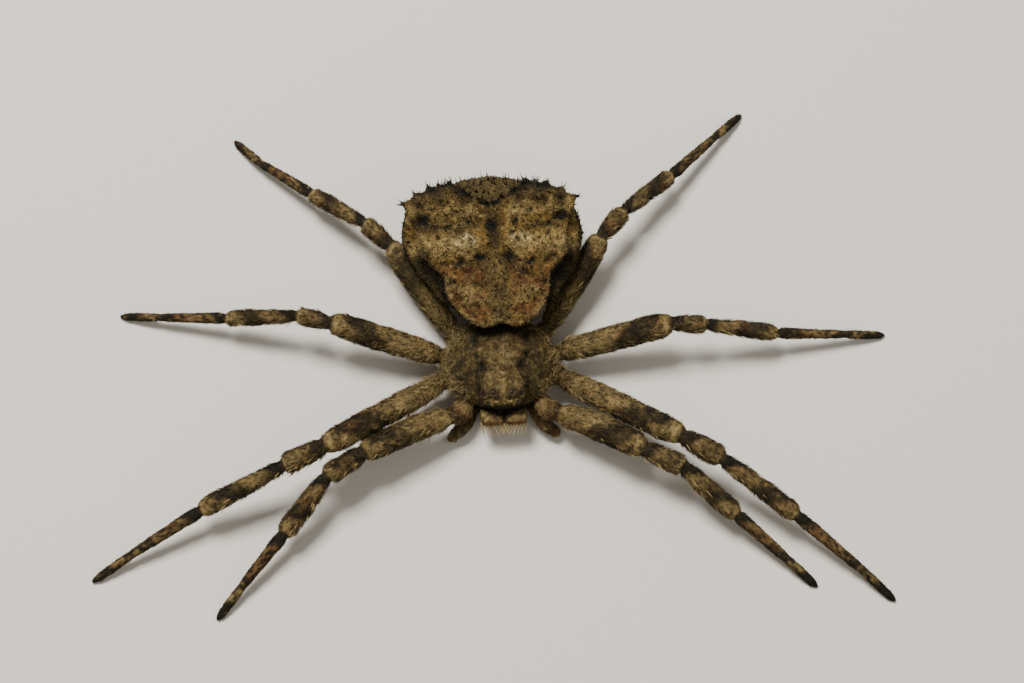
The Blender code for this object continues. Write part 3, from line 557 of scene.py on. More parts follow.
def knob_places(points):
    """Where each knob of the solids stands: its foot, axis, radius and height."""
    tree = BVHTree.FromPolygons([Vector(p) for p in points.reshape(-1, 3)],
                                ring_quads(*points.shape[:2]).tolist())
    draw = random.Random(SEED)
    places = []
    for x, y, z, radius, height, lift in KNOBS:
        for side in SIDES.values():
            foot = unit(np.array([side * x, y - ABDOMEN_MIDDLE_Y, 0.0]))
            outward = foot * math.cos(math.radians(lift)) + UP * math.sin(math.radians(lift))
            start = bend_abdomen(np.array([side * x, y, z])) + outward * 4.0
            spot, normal, _, _ = tree.ray_cast(Vector(start), Vector(-outward))
            axis = unit(outward + np.array(normal))
            rise = height * draw.uniform(0.85, 1.15)
            places.append((np.array(spot), axis, radius * draw.uniform(0.9, 1.1), rise))
    return places


def raise_knobs(points, places):
    """Pull a surface up round each knob's axis."""
    flat = points.reshape(-1, 3).copy()
    for spot, axis, radius, height in places:
        delta = flat - spot
        along = delta @ axis
        across = np.linalg.norm(delta - along[:, None] * axis, axis=1) / radius
        near = (across < 1.25) & (np.abs(along) < 1.2 * radius + 0.1)
        flat[near] += between(KNOB_SLOPE, across[near])[:, None] * axis * height
    return flat.reshape(points.shape)


def wart_weight(points, facts):
    return ease(-0.5, -0.3, facts[..., 3]) * (0.5 + 0.5 * ease(-0.02, 0.02, facts[..., 3]))


@functools.lru_cache
def abdomen():
    """The abdomen's grid, its knobs and the small warts between them."""
    sizes = bpy.context.scene.spider_sizes
    straight, places = straight_abdomen(240, 7, 52)
    points = bend_abdomen(straight)
    knobs = knob_places(points)
    grid = bowl_grid("abdomen", points, places, ((0.655, 0.775), 0.2), ((0.22, 0.775), 0.21),
                     int(np.argmax(places > -0.34)), straight)
    draw = np.random.default_rng(SEED)
    spread = grid.scatter(sizes.warts * 2, draw, wart_weight)
    warts = []
    for spot, axis in zip(spread.points, spread.out):
        if all(np.linalg.norm(spot - other[0]) > 0.3 for other in warts) and len(warts) < sizes.warts:
            radius = draw.uniform(0.08, 0.15)
            warts.append((spot, axis, radius, sizes.wart_height / MM * draw.uniform(0.6, 1.2)))
    grid.points = raise_knobs(raise_knobs(grid.points, knobs), warts)
    grid.swell(0.09 * lumps(grid.points, 0.42, 0.17, 3) - sizes.coat_depth / MM)
    return grid, knobs, warts


def near_spots(points, spots, reach):
    """How near each point lies to the nearest knob or wart, from 0 to 1."""
    nearest = np.full(len(points), 9.0)
    for place, _, radius, _ in spots:
        nearest = np.minimum(nearest, np.linalg.norm(points - place, axis=-1) / (radius * reach))
    return bell(nearest)


def carapace_point(angles, scale):
    behind = np.sin(angles) > 0.0
    power = np.where(behind, 2.0, 1.8)
    reach = np.where(behind, CARAPACE_REAR, CARAPACE_FRONT)
    return (CARAPACE_HALF_WIDTH * rounded(np.cos(angles), power) * scale,
            reach * rounded(np.sin(angles), power) * scale)


def ridge_side(x, y):
    half = between(RIDGE_HALF_WIDTHS, y)
    return 1.0 - ease(half - 0.12, half + 0.28, np.abs(x))


def carapace_height(x, y, scale):
    height = CARAPACE_RIM_HEIGHT + CARAPACE_DOME * (1.0 - scale ** 2.6) ** 0.7
    return height + between(RIDGE_RISES, y) * ridge_side(x, y) + sum(dots(CARAPACE_BUMPS, x, y))


def eye_distance(points):
    """How far each point is from the middle of the nearest eye of the solids."""
    boxes = [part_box(name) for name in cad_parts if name.startswith("eye")]
    middles = (np.array(boxes).mean(axis=1) - to_frame((0.0, 0.0, 0.0))) / MM
    return np.min([np.linalg.norm(points - middle, axis=-1) for middle in middles], axis=0)


@functools.lru_cache
def carapace():
    """The breast plate, the rim and the carapace as one grid."""
    sizes = bpy.context.scene.spider_sizes
    angles = circle(200)
    rings = []
    for scale, height in STERNUM_LEVELS:
        rings.append(stacked(STERNUM_HALF_WIDTH * scale * np.cos(angles),
                             STERNUM_HALF_LENGTH * scale * np.sin(angles) + STERNUM_MIDDLE_Y, height))
    places = [-1.0] * len(rings) + [-0.1] * len(RIM_LEVELS)
    for scale, drop in RIM_LEVELS:
        rings.append(stacked(*carapace_point(angles, scale), CARAPACE_RIM_HEIGHT - drop))
    for scale in (1.0 - np.linspace(0.0, 0.99, 62) ** 1.25)[1:]:
        x, y = carapace_point(angles, scale)
        rings.append(stacked(x, y, carapace_height(x, y, scale)))
        places.append(1.0 - scale)
    points, places = np.array(rings), np.array(places)
    grid = bowl_grid("carapace", points, places, ((0.93, 0.735), 0.065), ((0.92, 0.91), 0.078),
                     int(np.argmax(places >= 0.0)))
    rise = sum(dots(CARAPACE_WARTS, points[..., 0], points[..., 1]))
    rise = rise + EYE_RIM_RISE * bell((eye_distance(points) - EYE_RIM_RADIUS) / EYE_RIM_SPREAD)
    rise = 0.07 * lumps(points, 0.36, 0.15, 5, 0.7) + rise
    grid.swell(rise * ease(0.0, 0.04, places)[:, None] - sizes.coat_depth / MM)
    return grid


def leg_joints(number, side):
    """The leg's joints, from the hip to the tip."""
    pair = PAIRS[number]
    joints = [np.array([SIDES[side] * pair.hip[0], *pair.hip[1:]])]
    for heading, length, height in zip(HEADINGS[number, side], pair.lengths, pair.heights):
        x, y, z = joints[-1]
        run = math.sqrt(length ** 2 - (height - z) ** 2)
        turn = math.radians(heading)
        joints.append(np.array([x + run * math.cos(turn), y + run * math.sin(turn), height]))
    return joints


def softened(values, reach):
    """Even out rows of values over a few steps, with their ends kept."""
    edge = 3 * reach
    kernel = bell(np.arange(-edge, edge + 1) / reach)
    first = 2.0 * values[:1] - values[1:edge + 1][::-1]
    last = 2.0 * values[-1:] - values[-edge - 1:-1][::-1]
    padded = np.concatenate([first, values, last])
    return np.stack([np.convolve(column, kernel / kernel.sum(), "valid") for column in padded.T], axis=-1)


def tube_grid(kind, centres, widths, heights, sides, chart_place, stations, number=0):
    """A tube round a line of centres, wide across and less high."""
    way = unit(np.gradient(centres, axis=0))
    level = unit(np.cross(way, UP))
    rise = np.cross(level, way)
    angles = -math.pi / 2.0 - circle(sides)
    across = np.cos(angles)[None, :, None] * widths[:, None, None] / 2.0
    above = np.sin(angles)[None, :, None] * heights[:, None, None] / 2.0
    points = centres[:, None] + level[:, None] * across + rise[:, None] * above
    facts = stacked(stations[:, None], np.cos(angles), np.sin(angles), number)
    return Grid(kind, points, strip_chart(points, *chart_place), facts)


@functools.lru_cache
def leg(number, side):
    """A whole leg from under the carapace to its tip, as one tube drawn in at its joints."""
    sizes = bpy.context.scene.spider_sizes
    pair = PAIRS[number]
    coxa = np.array([SIDES[side] * pair.coxa[0], *pair.coxa[1:]])
    joints = leg_joints(number, side)
    corners = [coxa + (coxa - joints[0]) * 0.5, *joints]
    level = unit(np.cross(joints[1] - joints[0], UP))
    rearward = level if level[1] > 0.0 else -level
    centres, stations = [], []
    for i, (start, end) in enumerate(zip(corners, joints)):
        steps = max(int(np.linalg.norm(end - start) / LEG_STEP), 6)
        share = np.arange(steps + (i == len(joints) - 1)) / steps
        share = share - 0.55 * np.sin(TURN * share) / TURN
        bow = pair.bow * np.sin(math.pi * share) if i == 1 else 0.0 * share
        centres.append(start + (end - start) * share[:, None] + rearward * bow[:, None])
        stations.append(share + i - 1)
    centres, stations = softened(np.concatenate(centres), 2), np.concatenate(stations)
    rows = [(-1.0, COXA_WIDTH), (-0.55, COXA_WIDTH)]
    rows += [(-0.14, pair.hip_width * 0.94), (0.035, pair.hip_width)]
    for i, (profile, width) in enumerate(zip(PROFILES, pair.widths)):
        rows += [(i + share + 0.001 * (share == 0.0), width * scale) for share, scale in profile]
    widths = softened(np.interp(stations, *zip(*rows))[:, None], 1)[:, 0]
    flat = np.interp(stations, (-1.0, -0.6, 0.0, 0.14), (1.0, 1.0, 0.78, LEG_FLATNESS))
    reach = surface_reach(centres[:, None])
    pinch = np.ones(len(reach))
    for joint, depth in JOINT_PINCHES:
        pinch -= depth * bell((reach - np.interp(joint, stations, reach) - JOINT_SHIFT) / JOINT_REACH)
    hip = np.interp(LUMP_END if number == 1 else 0.06, stations, reach)
    pinch -= HIP_PINCH * bell((reach - hip) / HIP_REACH)
    inset = 2.0 * sizes.coat_depth / MM
    column = (number - 1) % 2 * 0.5 + 0.005
    row = ((number - 1) // 2 * 2 + (side == "right")) * 0.125 + 0.005
    grid = tube_grid("leg", centres, widths * pinch - inset, widths * flat * pinch - inset, LEG_SIDES,
                     ((column, row), 0.48, 0.115), stations, number)
    calm = ease(5.0, 4.0, stations) * (1.0 - 0.6 * ease(2.9, 3.1, stations))
    grid.swell(0.09 * lumps(grid.points, 0.5, 0.2, 7) * calm[:, None])
    grid.points[..., 2] = np.maximum(grid.points[..., 2], LOWEST)
    return grid


def path_grid(kind, path, sides, chart_place, steps=6):
    """A tube along a path of (x, y, z, radius) stations."""
    rows = np.array(smooth_rings(np.array(path), steps))
    stations = np.linspace(0.0, 1.0, len(rows))
    return tube_grid(kind, rows[:, :3], rows[:, 3] * 2.0, rows[:, 3] * 2.0, sides, chart_place, stations)


@functools.lru_cache
def small_parts():
    """Palps, the waist and the spinnerets."""
    grids = []
    for i, mirror in enumerate(SIDES.values()):
        path = [(mirror * x, y, z, radius - PALP_INSET) for x, y, z, radius in PALP_PATH]
        palp = path_grid("palp", path, 28, ((0.005 + 0.5 * i, 0.51), 0.48, 0.04))
        palp.swell(0.07 * lumps(palp.points, 0.24, 0.11, 9))
        grids.append(palp)
    grids.append(path_grid("pedicel", PEDICEL_PATH, 16, ((0.85, 0.65), 0.06, 0.02)))
    base = bend_abdomen(np.array(SPINNERET_BASE))
    aim = unit(np.array([-ABDOMEN_BEND, 1.0, -0.25]))
    rise = np.cross(np.array([1.0, 0.0, 0.0]), aim)
    mound = [(*(base + aim * step), radius) for step, radius in SPINNERET_MOUND]
    grids.append(path_grid("spinneret", mound, 20, ((0.85, 0.625), 0.06, 0.02)))
    for i, (x, z) in enumerate(SPINNERET_PLACES):
        spread = np.array([x, 0.0, 0.0]) + rise * z
        root = base + spread * SPINNERET_SPREAD + aim * 0.1
        reach = (aim + spread * 0.12) * SPINNERET_LENGTH
        cone = [(*(root + reach * share), SPINNERET_RADIUS * width) for share, width in SPINNERET_CONE]
        grids.append(path_grid("spinneret", cone, 16, ((0.92 + 0.02 * i, 0.625), 0.015, 0.02)))
    return grids


@functools.lru_cache
def jaws():
    """The two chelicerae, with rounded tops that slope to the front."""
    angles = circle(48)
    grids = []
    for i, mirror in enumerate(SIDES.values()):
        rings = []
        for height, x, y, half_width, half_depth in smooth_rings(np.array(CHELICERA_RINGS), 6):
            across = (half_width - 0.01) * rounded(np.cos(angles), JAW_POWER)
            along = (half_depth - 0.03) * rounded(np.sin(angles), JAW_POWER)
            slant = -along * CHELICERA_SLANT * ease(1.2, 1.8, height)
            rings.append(stacked(mirror * (x - JAW_CLOSING) + across, y + along, height + slant))
        last = rings[-1]
        points = np.array([*rings, last + (last.mean(axis=0) - last) * 0.5 + UP * 0.03])
        grid = Grid("jaw", points, strip_chart(points, (0.85 + 0.075 * i, 0.56), 0.07, 0.055),
                    with_places(points, np.zeros(len(points))))
        grid.swell(0.04 * (grain(points, 0.2, 11) - 0.5))
        grids.append(grid)
    return grids


def all_grids():
    return [abdomen()[0], carapace(), *jaws(), *small_parts(), *(leg(*key) for key in HEADINGS)]


def shade(name):
    return np.array(getattr(bpy.context.scene.spider_colours, name))


class Paint:
    """A colour for each point, laid on in layers."""

    def __init__(self, ground, points):
        self.points = points
        self.colours = np.tile(shade(ground), (len(points), 1))

    def cover(self, colours, mask):
        mask = np.clip(mask, 0.0, 1.0)[:, None]
        self.colours = self.colours * (1.0 - mask) + colours * mask

    def lay(self, name, mask):
        self.cover(shade(name), mask)

    def mottle(self, name, strength, low, high, size, seed, where=1.0):
        """Patches where random lumps of a size rise from low to high."""
        self.lay(name, strength * ease(low, high, grain(self.points, size, seed)) * where)

    def dots(self, name, table, x, y, where=1.0):
        for dot in dots(table, x, y):
            self.lay(name, dot * where)

    def waver(self, values, amount, size, seed):
        """Values pushed to and fro at random, so that no marking has a straight edge."""
        return values + amount * (grain(self.points, size, seed) - 0.5)


# Spots of the shield and carapace: middle across and along, spread across and along, strength.
SHIELD_DARK = (
    (0.76, 5.83, 0.27, 0.2, 1.0), (1.95, 5.5, 0.22, 0.13, 0.9), (0.0, 7.65, 0.17, 0.27, 1.0),
    (0.2, 9.05, 0.34, 0.22, 1.0), (0.75, 9.3, 0.2, 0.14, 0.7), (1.3, 9.62, 0.38, 0.22, 1.0),
    (3.85, 8.05, 0.36, 0.24, 0.95), (2.1, 10.0, 0.4, 0.2, 0.7), (3.1, 9.75, 0.5, 0.2, 0.7),
    (4.1, 6.1, 0.3, 0.2, 0.6), (0.0, 6.9, 0.12, 0.4, 0.35), (2.6, 7.5, 0.6, 0.14, 0.5),
    (2.9, 5.6, 0.5, 0.12, 0.5), (1.3, 7.75, 0.14, 0.14, 0.8), (1.15, 7.1, 0.1, 0.1, 0.7),
    (2.2, 8.4, 0.12, 0.12, 0.7), (2.6, 4.4, 0.14, 0.14, 0.7), (1.6, 4.9, 0.14, 0.12, 0.6),
    (3.1, 7.0, 0.12, 0.12, 0.7), (1.3, 6.62, 0.1, 0.09, 1.0),
)
SHIELD_RUST = ((1.15, 2.9, 0.35, 0.25, 0.45),)
SHIELD_STRAW = ((1.7, 3.9, 0.5, 0.15, 0.55), (1.2, 3.3, 0.5, 0.12, 0.45))
SHIELD_PALE = ((1.36, 6.68, 0.34, 0.25, 0.9),)
CARAPACE_DARK = (
    (1.1, -0.08, 0.2, 0.26, 1.0), (0.55, -1.6, 0.24, 0.2, 0.85), (1.15, -1.55, 0.17, 0.3, 0.85),
    (1.42, 0.55, 0.1, 0.3, 0.8), (1.38, -1.0, 0.1, 0.5, 0.7), (0.28, 0.85, 0.08, 0.12, 0.7),
    (2.2, 0.3, 0.12, 0.15, 0.7), (2.3, -0.6, 0.12, 0.12, 0.7), (1.9, -1.2, 0.12, 0.12, 0.6),
    (1.5, 1.6, 0.2, 0.35, 0.85), (0.0, 1.6, 0.08, 0.4, 0.4), (1.9, 1.2, 0.12, 0.2, 0.6),
)
CARAPACE_PALE = (
    (1.28, 0.35, 0.16, 0.1, 0.4), (1.3, 0.9, 0.16, 0.1, 0.4), (0.8, -0.75, 0.2, 0.25, 0.2),
    (0.5, -2.16, 0.35, 0.06, 1.2), (0.0, -2.28, 0.35, 0.06, 1.2), (0.0, -1.4, 0.12, 0.7, 0.5),
    (0.3, 0.45, 0.35, 0.3, 0.25), (0.62, -1.25, 0.3, 0.1, 0.3),
)
# Dark bands and pale stretches of the legs: first and last place (whole numbers are joints) and strength.
DARK_BANDS = (
    (0.03, 0.065, 0.6), (0.6, 0.86, 0.75), (1.0, 1.3, 0.75), (2.0, 2.15, 0.95), (2.5, 2.76, 0.75),
    (3.0, 3.2, 0.95), (3.86, 4.06, 0.8), (4.5, 5.1, 0.95),
)
PALE_BANDS = (
    (-1.0, 0.0, 0.3), (0.14, 0.55, 0.35), (0.88, 0.985, 0.18), (1.8, 1.98, 0.18),
    (2.22, 2.42, 0.2), (2.84, 2.985, 0.22), (4.15, 4.4, 0.2),
    (0.965, 0.995, 0.5), (1.955, 1.99, 0.55), (2.965, 2.995, 0.6), (3.98, 4.0, 0.3),
)


def paint_abdomen(points, facts):
    """Ochre shield with its spots and stripe, grey rear slope and dark walls, with a painted shadow on the
    upper wall under the shield's front edge.
    """
    _, knobs, warts = abdomen()
    paint = Paint("ochre", points)
    x = paint.waver(facts[:, 0], 0.3, 0.4, 21)
    y = paint.waver(facts[:, 1], 0.3, 0.4, 22)
    place = facts[:, 3]
    aside = np.abs(x)
    patches = grain(points, 0.75, 23)
    flecks = grain(points, 0.2, 24)
    front = ease(5.6, 4.9, y)
    paint.lay("umber", 0.75 * ease(0.45, 0.75, patches))
    paint.lay("straw", 0.45 * ease(0.55, 0.8, flecks))
    paint.lay("straw", 0.55 * stretch(5.7, 6.1, 6.7, 7.3, y) * ease(0.7, 1.2, aside))
    paint.lay("straw", 0.4 * stretch(7.9, 8.3, 8.6, 9.0, y) * ease(0.7, 1.2, aside))
    paint.lay("umber", 0.35 * front)
    paint.mottle("rust", 0.55, 0.2, 0.6, 0.6, 25, front * ease(0.5, 1.0, aside))
    paint.dots("rust", SHIELD_RUST, x, y)
    paint.dots("straw", SHIELD_STRAW, x, y)
    paint.lay("ash", 0.75 * ease(0.85, 0.35, aside) * ease(6.6, 5.4, y))
    paint.lay("umber", 0.55 * ease(0.45, 0.15, aside) * ease(5.2, 6.6, y))
    paint.lay("straw", 0.6 * ease(0.08, 0.02, place) * ease(5.0, 4.0, y) * ease(0.3, 0.6, flecks))
    paint.lay("ash", 0.75 * ease(9.0, 9.5, y))
    paint.lay("umber", 0.5 * near_spots(points, warts, 0.8))
    paint.dots("pale", SHIELD_PALE, x, y, ease(0.25, 0.5, flecks))
    paint.dots("soot", SHIELD_DARK, x, y, 1.5)
    paint.mottle("soot", 0.55, 0.66, 0.82, 0.14, 27)
    side = Paint("olive", points)
    side.lay("umber", 0.6 * ease(0.5, 0.8, patches))
    side.lay("ash", 0.9 * ease(9.0, 10.0, y))
    side.lay("umber", 0.35 * ease(9.6, 10.4, y) * ease(0.35, 0.7, flecks))
    side.lay("ochre", 0.45 * ease(0.5, 0.8, patches) * ease(3.2, 2.6, facts[:, 2]))
    side.mottle("soot", 0.6, 0.5, 0.75, 0.5, 26, ease(10.0, 9.0, y))
    # Painted shadow: a near-black strip on the upper wall just under the front part of the shield's
    # overhanging edge.
    side.lay("soot", 0.9 * ease(-0.28, -0.1, place) * ease(6.6, 5.6, y))
    corner = stretch(5.8, 6.6, 8.2, 9.0, y) * ease(-0.26, -0.16, place)
    paint.cover(side.colours, ease(0.005, -0.02, place) * (1.0 - corner))
    rear = ease(8.2, 8.9, points[:, 1]) * ease(0.9, 1.6, np.abs(facts[:, 0]))
    paint.lay("soot", 0.8 * rear * near_spots(points, knobs, 0.8))
    return paint.colours


def paint_carapace(points, facts):
    """Olive flanks, a paler ridge with dark pits, dark patches round the eyes, and a painted shadow under
    the brow.
    """
    paint = Paint("olive", points)
    x = paint.waver(facts[:, 0], 0.2, 0.25, 31)
    y = paint.waver(facts[:, 1], 0.2, 0.25, 32)
    ridge = ridge_side(x, y)
    paint.mottle("soot", 0.4, 0.5, 0.8, 0.5, 33)
    paint.mottle("bark", 0.75, 0.52, 0.72, 0.13, 36)
    paint.lay("bark", 0.6 * ridge * ease(2.6, 1.4, y))
    paint.mottle("umber", 0.8, 0.35, 0.65, 0.3, 37, ridge)
    paint.mottle("straw", 0.15, 0.5, 0.8, 0.13, 36, ridge * ease(1.4, 0.8, y))
    beside_ridge = 4.0 * ridge * (1.0 - ridge) * ease(-2.2, -1.9, y)
    paint.mottle("soot", 0.6, 0.2, 0.5, 0.45, 34, beside_ridge)
    paint.dots("straw", CARAPACE_PALE, x, y, 0.7)
    paint.dots("soot", CARAPACE_DARK, x, y)
    paint.lay("bark", 0.3 * ease(0.45, 0.35, eye_distance(points)))
    paint.mottle("soot", 0.5, 0.68, 0.84, 0.16, 38)
    paint.lay("soot", 0.6 * ease(1.0, 2.2, y) * ridge)
    # Painted shadow on the face under the overhanging brow.
    brow_shadow = ease(2.92, 2.72, facts[:, 2]) * ease(-1.9, -2.15, y)
    paint.lay("soot", 0.9 * brow_shadow * ease(1.4, 1.0, np.abs(x)))
    paint.lay("soot", 0.6 * ease(-0.05, -0.3, facts[:, 3]))
    return paint.colours


def paint_leg(points, facts):
    """Mottled bark-brown legs with dark bands and pale ends."""
    paint = Paint("bark", points)
    station = facts[:, 0]
    upper = 0.1 * facts[:, 1] * np.where(points[:, 0] > 0.0, 1.0, -1.0)
    joint = paint.waver(station, 0.02, 0.3, 47)
    place = paint.waver(station, 0.1, 0.4, 41) + upper * (station > 0.3)
    place = np.where(np.abs(joint - np.round(joint)) < 0.08, joint, place)
    paint.mottle("umber", 0.75, 0.42, 0.7, 0.36, 42)
    paint.mottle("straw", 0.25, 0.55, 0.8, 0.2, 43)
    paint.mottle("olive", 0.3, 0.3, 0.7, 0.7, 40)
    paint.mottle("rust", 0.25, 0.5, 0.8, 0.8, 44)
    paint.lay("rust", 0.15 * stretch(3.2, 3.3, 3.8, 3.9, place))
    patchy = 0.4 + 0.8 * grain(points, 0.25, 48)
    for first, last, strength in PALE_BANDS:
        band = stretch(first - 0.02, first + 0.02, last - 0.02, last + 0.02, place)
        paint.lay("straw", strength * band * patchy)
    patchy = ease(0.0, 0.45, grain(points, 0.45, 45))
    for first, last, strength in DARK_BANDS:
        band = stretch(first - 0.03, first + 0.03, last - 0.04, last + 0.04, place)
        paint.lay("soot", strength * band * np.maximum(patchy, first % 1.0 == 0.0))
    paint.mottle("soot", 0.75, 0.58, 0.72, 0.14, 46)
    paint.mottle("soot", 0.9, 0.54, 0.62, 0.13, 49, ease(3.1, 3.3, place))
    # Darker olive on the fourth femora's bases: partly their own dark colour, partly painted shade beside
    # the abdomen.
    paint.lay("olive", 0.7 * (facts[:, 3] == 4.0) * ease(0.8, 0.5, place))
    first_leg = facts[:, 3] == 1.0
    paint.lay("rust", 0.25 * first_leg * ease(LUMP_END, LUMP_END - 0.03, joint))
    # Painted shadow in the groove between a first leg's hip lump and its femur.
    paint.lay("soot", 0.85 * first_leg * bell((joint - LUMP_END) / 0.012))
    paint.lay("umber", 0.6 * ease(0.1, -0.7, facts[:, 2]))
    return paint.colours


def paint_jaw(points, facts):
    """Bark-brown jaws with olive and pale mottling, and a painted shadow on their tops under the brow."""
    paint = Paint("bark", points)
    across, along, height = np.abs(facts[:, 0]), facts[:, 1], facts[:, 2]
    paint.mottle("olive", 0.5, 0.4, 0.7, 0.25, 51)
    paint.mottle("straw", 0.6, 0.45, 0.7, 0.13, 52)
    paint.mottle("soot", 0.5, 0.62, 0.78, 0.14, 53)
    paint.lay("rust", 0.4 * ease(-2.92, -3.08, along))
    # Painted shadow: a dark V on the jaws' tops, where the brow overhangs them.
    paint.lay("soot", 0.9 * ease(-0.12, 0.12, along + 2.95 - 0.55 * across) * ease(1.5, 1.7, height))
    paint.mottle("umber", 0.8, 0.2, 0.5, 0.25, 54, ease(1.7, 1.3, height))
    paint.lay("soot", 0.6 * ease(1.2, 0.6, height))
    return paint.colours


def paint_palp(points, facts):
    """Palps in bark brown with dark, pale and reddish flecks."""
    paint = Paint("bark", points)
    paint.mottle("umber", 0.6, 0.5, 0.8, 0.3, 61)
    paint.mottle("rust", 0.35, 0.45, 0.7, 0.4, 63)
    paint.mottle("straw", 0.55, 0.4, 0.65, 0.16, 64)
    paint.mottle("soot", 0.6, 0.62, 0.8, 0.18, 62)
    return paint.colours


def paint_waist(points, facts):
    """Waist and spinnerets in umber with a few paler flecks."""
    paint = Paint("umber", points)
    paint.mottle("bark", 0.8, 0.4, 0.7, 0.25, 61)
    paint.mottle("soot", 0.6, 0.62, 0.8, 0.18, 62)
    return paint.colours


PAINTERS = {
    "abdomen": paint_abdomen, "carapace": paint_carapace, "leg": paint_leg, "jaw": paint_jaw,
    "palp": paint_palp, "pedicel": paint_waist, "spinneret": paint_waist,
}


def marks_of(surface):
    """The markings at the points of a grid or of roots."""
    facts = surface.facts
    return PAINTERS[surface.kind](surface.points.reshape(-1, 3), facts.reshape(-1, facts.shape[-1]))


class Wire:
    """A socket of a shader, so that maths on values can be written as an expression."""

    def __init__(self, tree, socket):
        self.tree = tree
        self.socket = socket

    def into(self, slot):
        self.tree.links.new(self.socket, slot)

    def maths(self, operation, first, second):
        node = self.tree.nodes.new("ShaderNodeMath")
        node.operation = operation
        for slot, value in zip(node.inputs, (first, second)):
            put(slot, value)
        return Wire(self.tree, node.outputs[0])

    def __add__(self, other):
        return self.maths("ADD", self, other)

    def __radd__(self, other):
        return self.maths("ADD", other, self)

    def __sub__(self, other):
        return self.maths("SUBTRACT", self, other)

    def __rsub__(self, other):
        return self.maths("SUBTRACT", other, self)

    def __mul__(self, other):
        return self.maths("MULTIPLY", self, other)

    def __rmul__(self, other):
        return self.maths("MULTIPLY", other, self)


def put(slot, value):
    if isinstance(value, Wire):
        value.into(slot)
    else:
        slot.default_value = value


class Finish:
    """A material and one way to add each of its nodes."""

    def __init__(self, name):
        self.material = bpy.data.materials.new(name)
        self.material.use_nodes = True
        self.tree = self.material.node_tree
        self.shader = self.tree.nodes["Principled BSDF"]

    def node(self, kind, settings=None, output=0, **values):
        node = self.tree.nodes.new(kind)
        for key, value in (settings or {}).items():
            setattr(node, key, value)
        for key, value in values.items():
            put(node.inputs[int(key[1:]) if key[1:].isdigit() else key.replace("_", " ")], value)
        return Wire(self.tree, node.outputs[output])

    def surface(self, **values):
        for key, value in values.items():
            put(self.shader.inputs[key.replace("_", " ")], value)
        return self.material

    def attribute(self, name, output):
        return self.node("ShaderNodeAttribute", {"attribute_name": name}, output)

    def noise(self, place, scale, detail=2.0):
        return self.node("ShaderNodeTexNoise", output="Fac", Vector=place, Scale=scale, Detail=detail)

    def reading(self, value, low, high, most):
        """A value that rises from 0 to its most while another goes from low to high."""
        return self.node("ShaderNodeMapRange", Value=value, From_Min=low, From_Max=high, To_Min=0.0,
                         To_Max=most)

    def mixed(self, share, first, second):
        """One colour turning into another; 0, 6 and 7 are the Mix node's factor and its two colours."""
        return self.node("ShaderNodeMix", {"data_type": "RGBA"}, output=2, n0=share, n6=first, n7=second)


LIT_FLECK = (1.9, 1.75, 1.5)


def coat_material(name, roughness, grain_size, depth):
    """A surface that carries the marks, with fine flecks and a rough grain."""
    finish = Finish(name)
    marks = finish.attribute("marks", "Color")
    root = finish.attribute("root", "Vector")
    coarse = finish.noise(root, 1.0 / (grain_size * 3.0 * MM), 3.0)
    fine = finish.noise(root, 1.0 / (grain_size * MM))
    dark = finish.reading(coarse, 0.52, 0.7, 0.45)
    light = finish.reading(fine, 0.5, 0.72, 0.6)
    colour = finish.mixed(dark, marks, (*shade("soot"), 1.0))
    lit = finish.node("ShaderNodeVectorMath", {"operation": "MULTIPLY"}, n0=colour, n1=LIT_FLECK)
    colour = finish.mixed(light, colour, lit)
    relief = coarse * 0.5 + fine * 0.5
    bump = finish.node("ShaderNodeBump", Strength=0.6, Distance=depth * MM, Height=relief)
    rough = roughness + (fine - 0.5) * 0.25
    return finish.surface(Base_Color=colour, Roughness=rough, Normal=bump, Specular_IOR_Level=0.15)


def hair_material(name, roughness):
    """Hairs in the colours of the marks at their roots, made once under each name."""
    if name in bpy.data.materials:
        return bpy.data.materials[name]
    finish = Finish(name)
    marks = finish.attribute("marks", "Color")
    return finish.surface(Base_Color=marks, Roughness=roughness, Specular_IOR_Level=0.2)


def fill(rows, key, values, kind=np.float32):
    rows.foreach_set(key, np.asarray(values).astype(kind).ravel())


def build_mesh(name, points, faces, charts, marks, roots, slots=None):
    """A mesh in metres from points in millimetres, with its chart, marks and roots."""
    mesh = bpy.data.meshes.new(name)
    loops = np.concatenate([group.ravel() for group in faces])
    sizes = np.concatenate([np.full(len(group), group.shape[1]) for group in faces])
    mesh.vertices.add(len(points))
    mesh.loops.add(len(loops))
    mesh.polygons.add(len(sizes))
    fill(mesh.vertices, "co", to_frame(points))
    fill(mesh.loops, "vertex_index", loops, np.int32)
    fill(mesh.polygons, "loop_start", np.cumsum(sizes) - sizes, np.int32)
    if slots is not None:
        fill(mesh.polygons, "material_index", slots, np.int32)
    mesh.update(calc_edges=True)
    layer = mesh.uv_layers.new(name="OFBake")
    fill(layer.data, "uv", np.concatenate([chart.reshape(-1, 2) for chart in charts]))
    colours = np.concatenate([marks, np.ones((len(marks), 1))], axis=1)
    fill(mesh.attributes.new("marks", "FLOAT_COLOR", "POINT").data, "color", colours)
    fill(mesh.attributes.new("root", "FLOAT_VECTOR", "POINT").data, "vector", to_frame(roots))
    if mesh.validate():
        raise ValueError(f"{name}: the mesh had faults")
    return mesh


def add_object(name, data):
    thing = bpy.data.objects.new(name, data)
    bpy.context.scene.collection.objects.link(thing)
    return thing


def add_piece(name, mesh, materials, nodes=()):
    piece = add_object(name, mesh)
    for material in materials:
        mesh.materials.append(material)
    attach(piece, "root")
    if nodes:
        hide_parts(*nodes)


def hair_pattern(rings):
    """The triangles of one hair: its foot, its rings and its tip."""
    pattern = [(2, 1, 0)]
    turns = [(i, (i + 1) % RING_SIDES) for i in range(RING_SIDES)]
    for first in range(0, (rings - 1) * RING_SIDES, RING_SIDES):
        for i, j in turns:
            a, b = first + i, first + j
            c, d = a + RING_SIDES, b + RING_SIDES
            pattern += [(a, b, d), (a, d, c)]
    last = (rings - 1) * RING_SIDES
    return np.array(pattern + [(last + i, last + j, last + RING_SIDES) for i, j in turns])


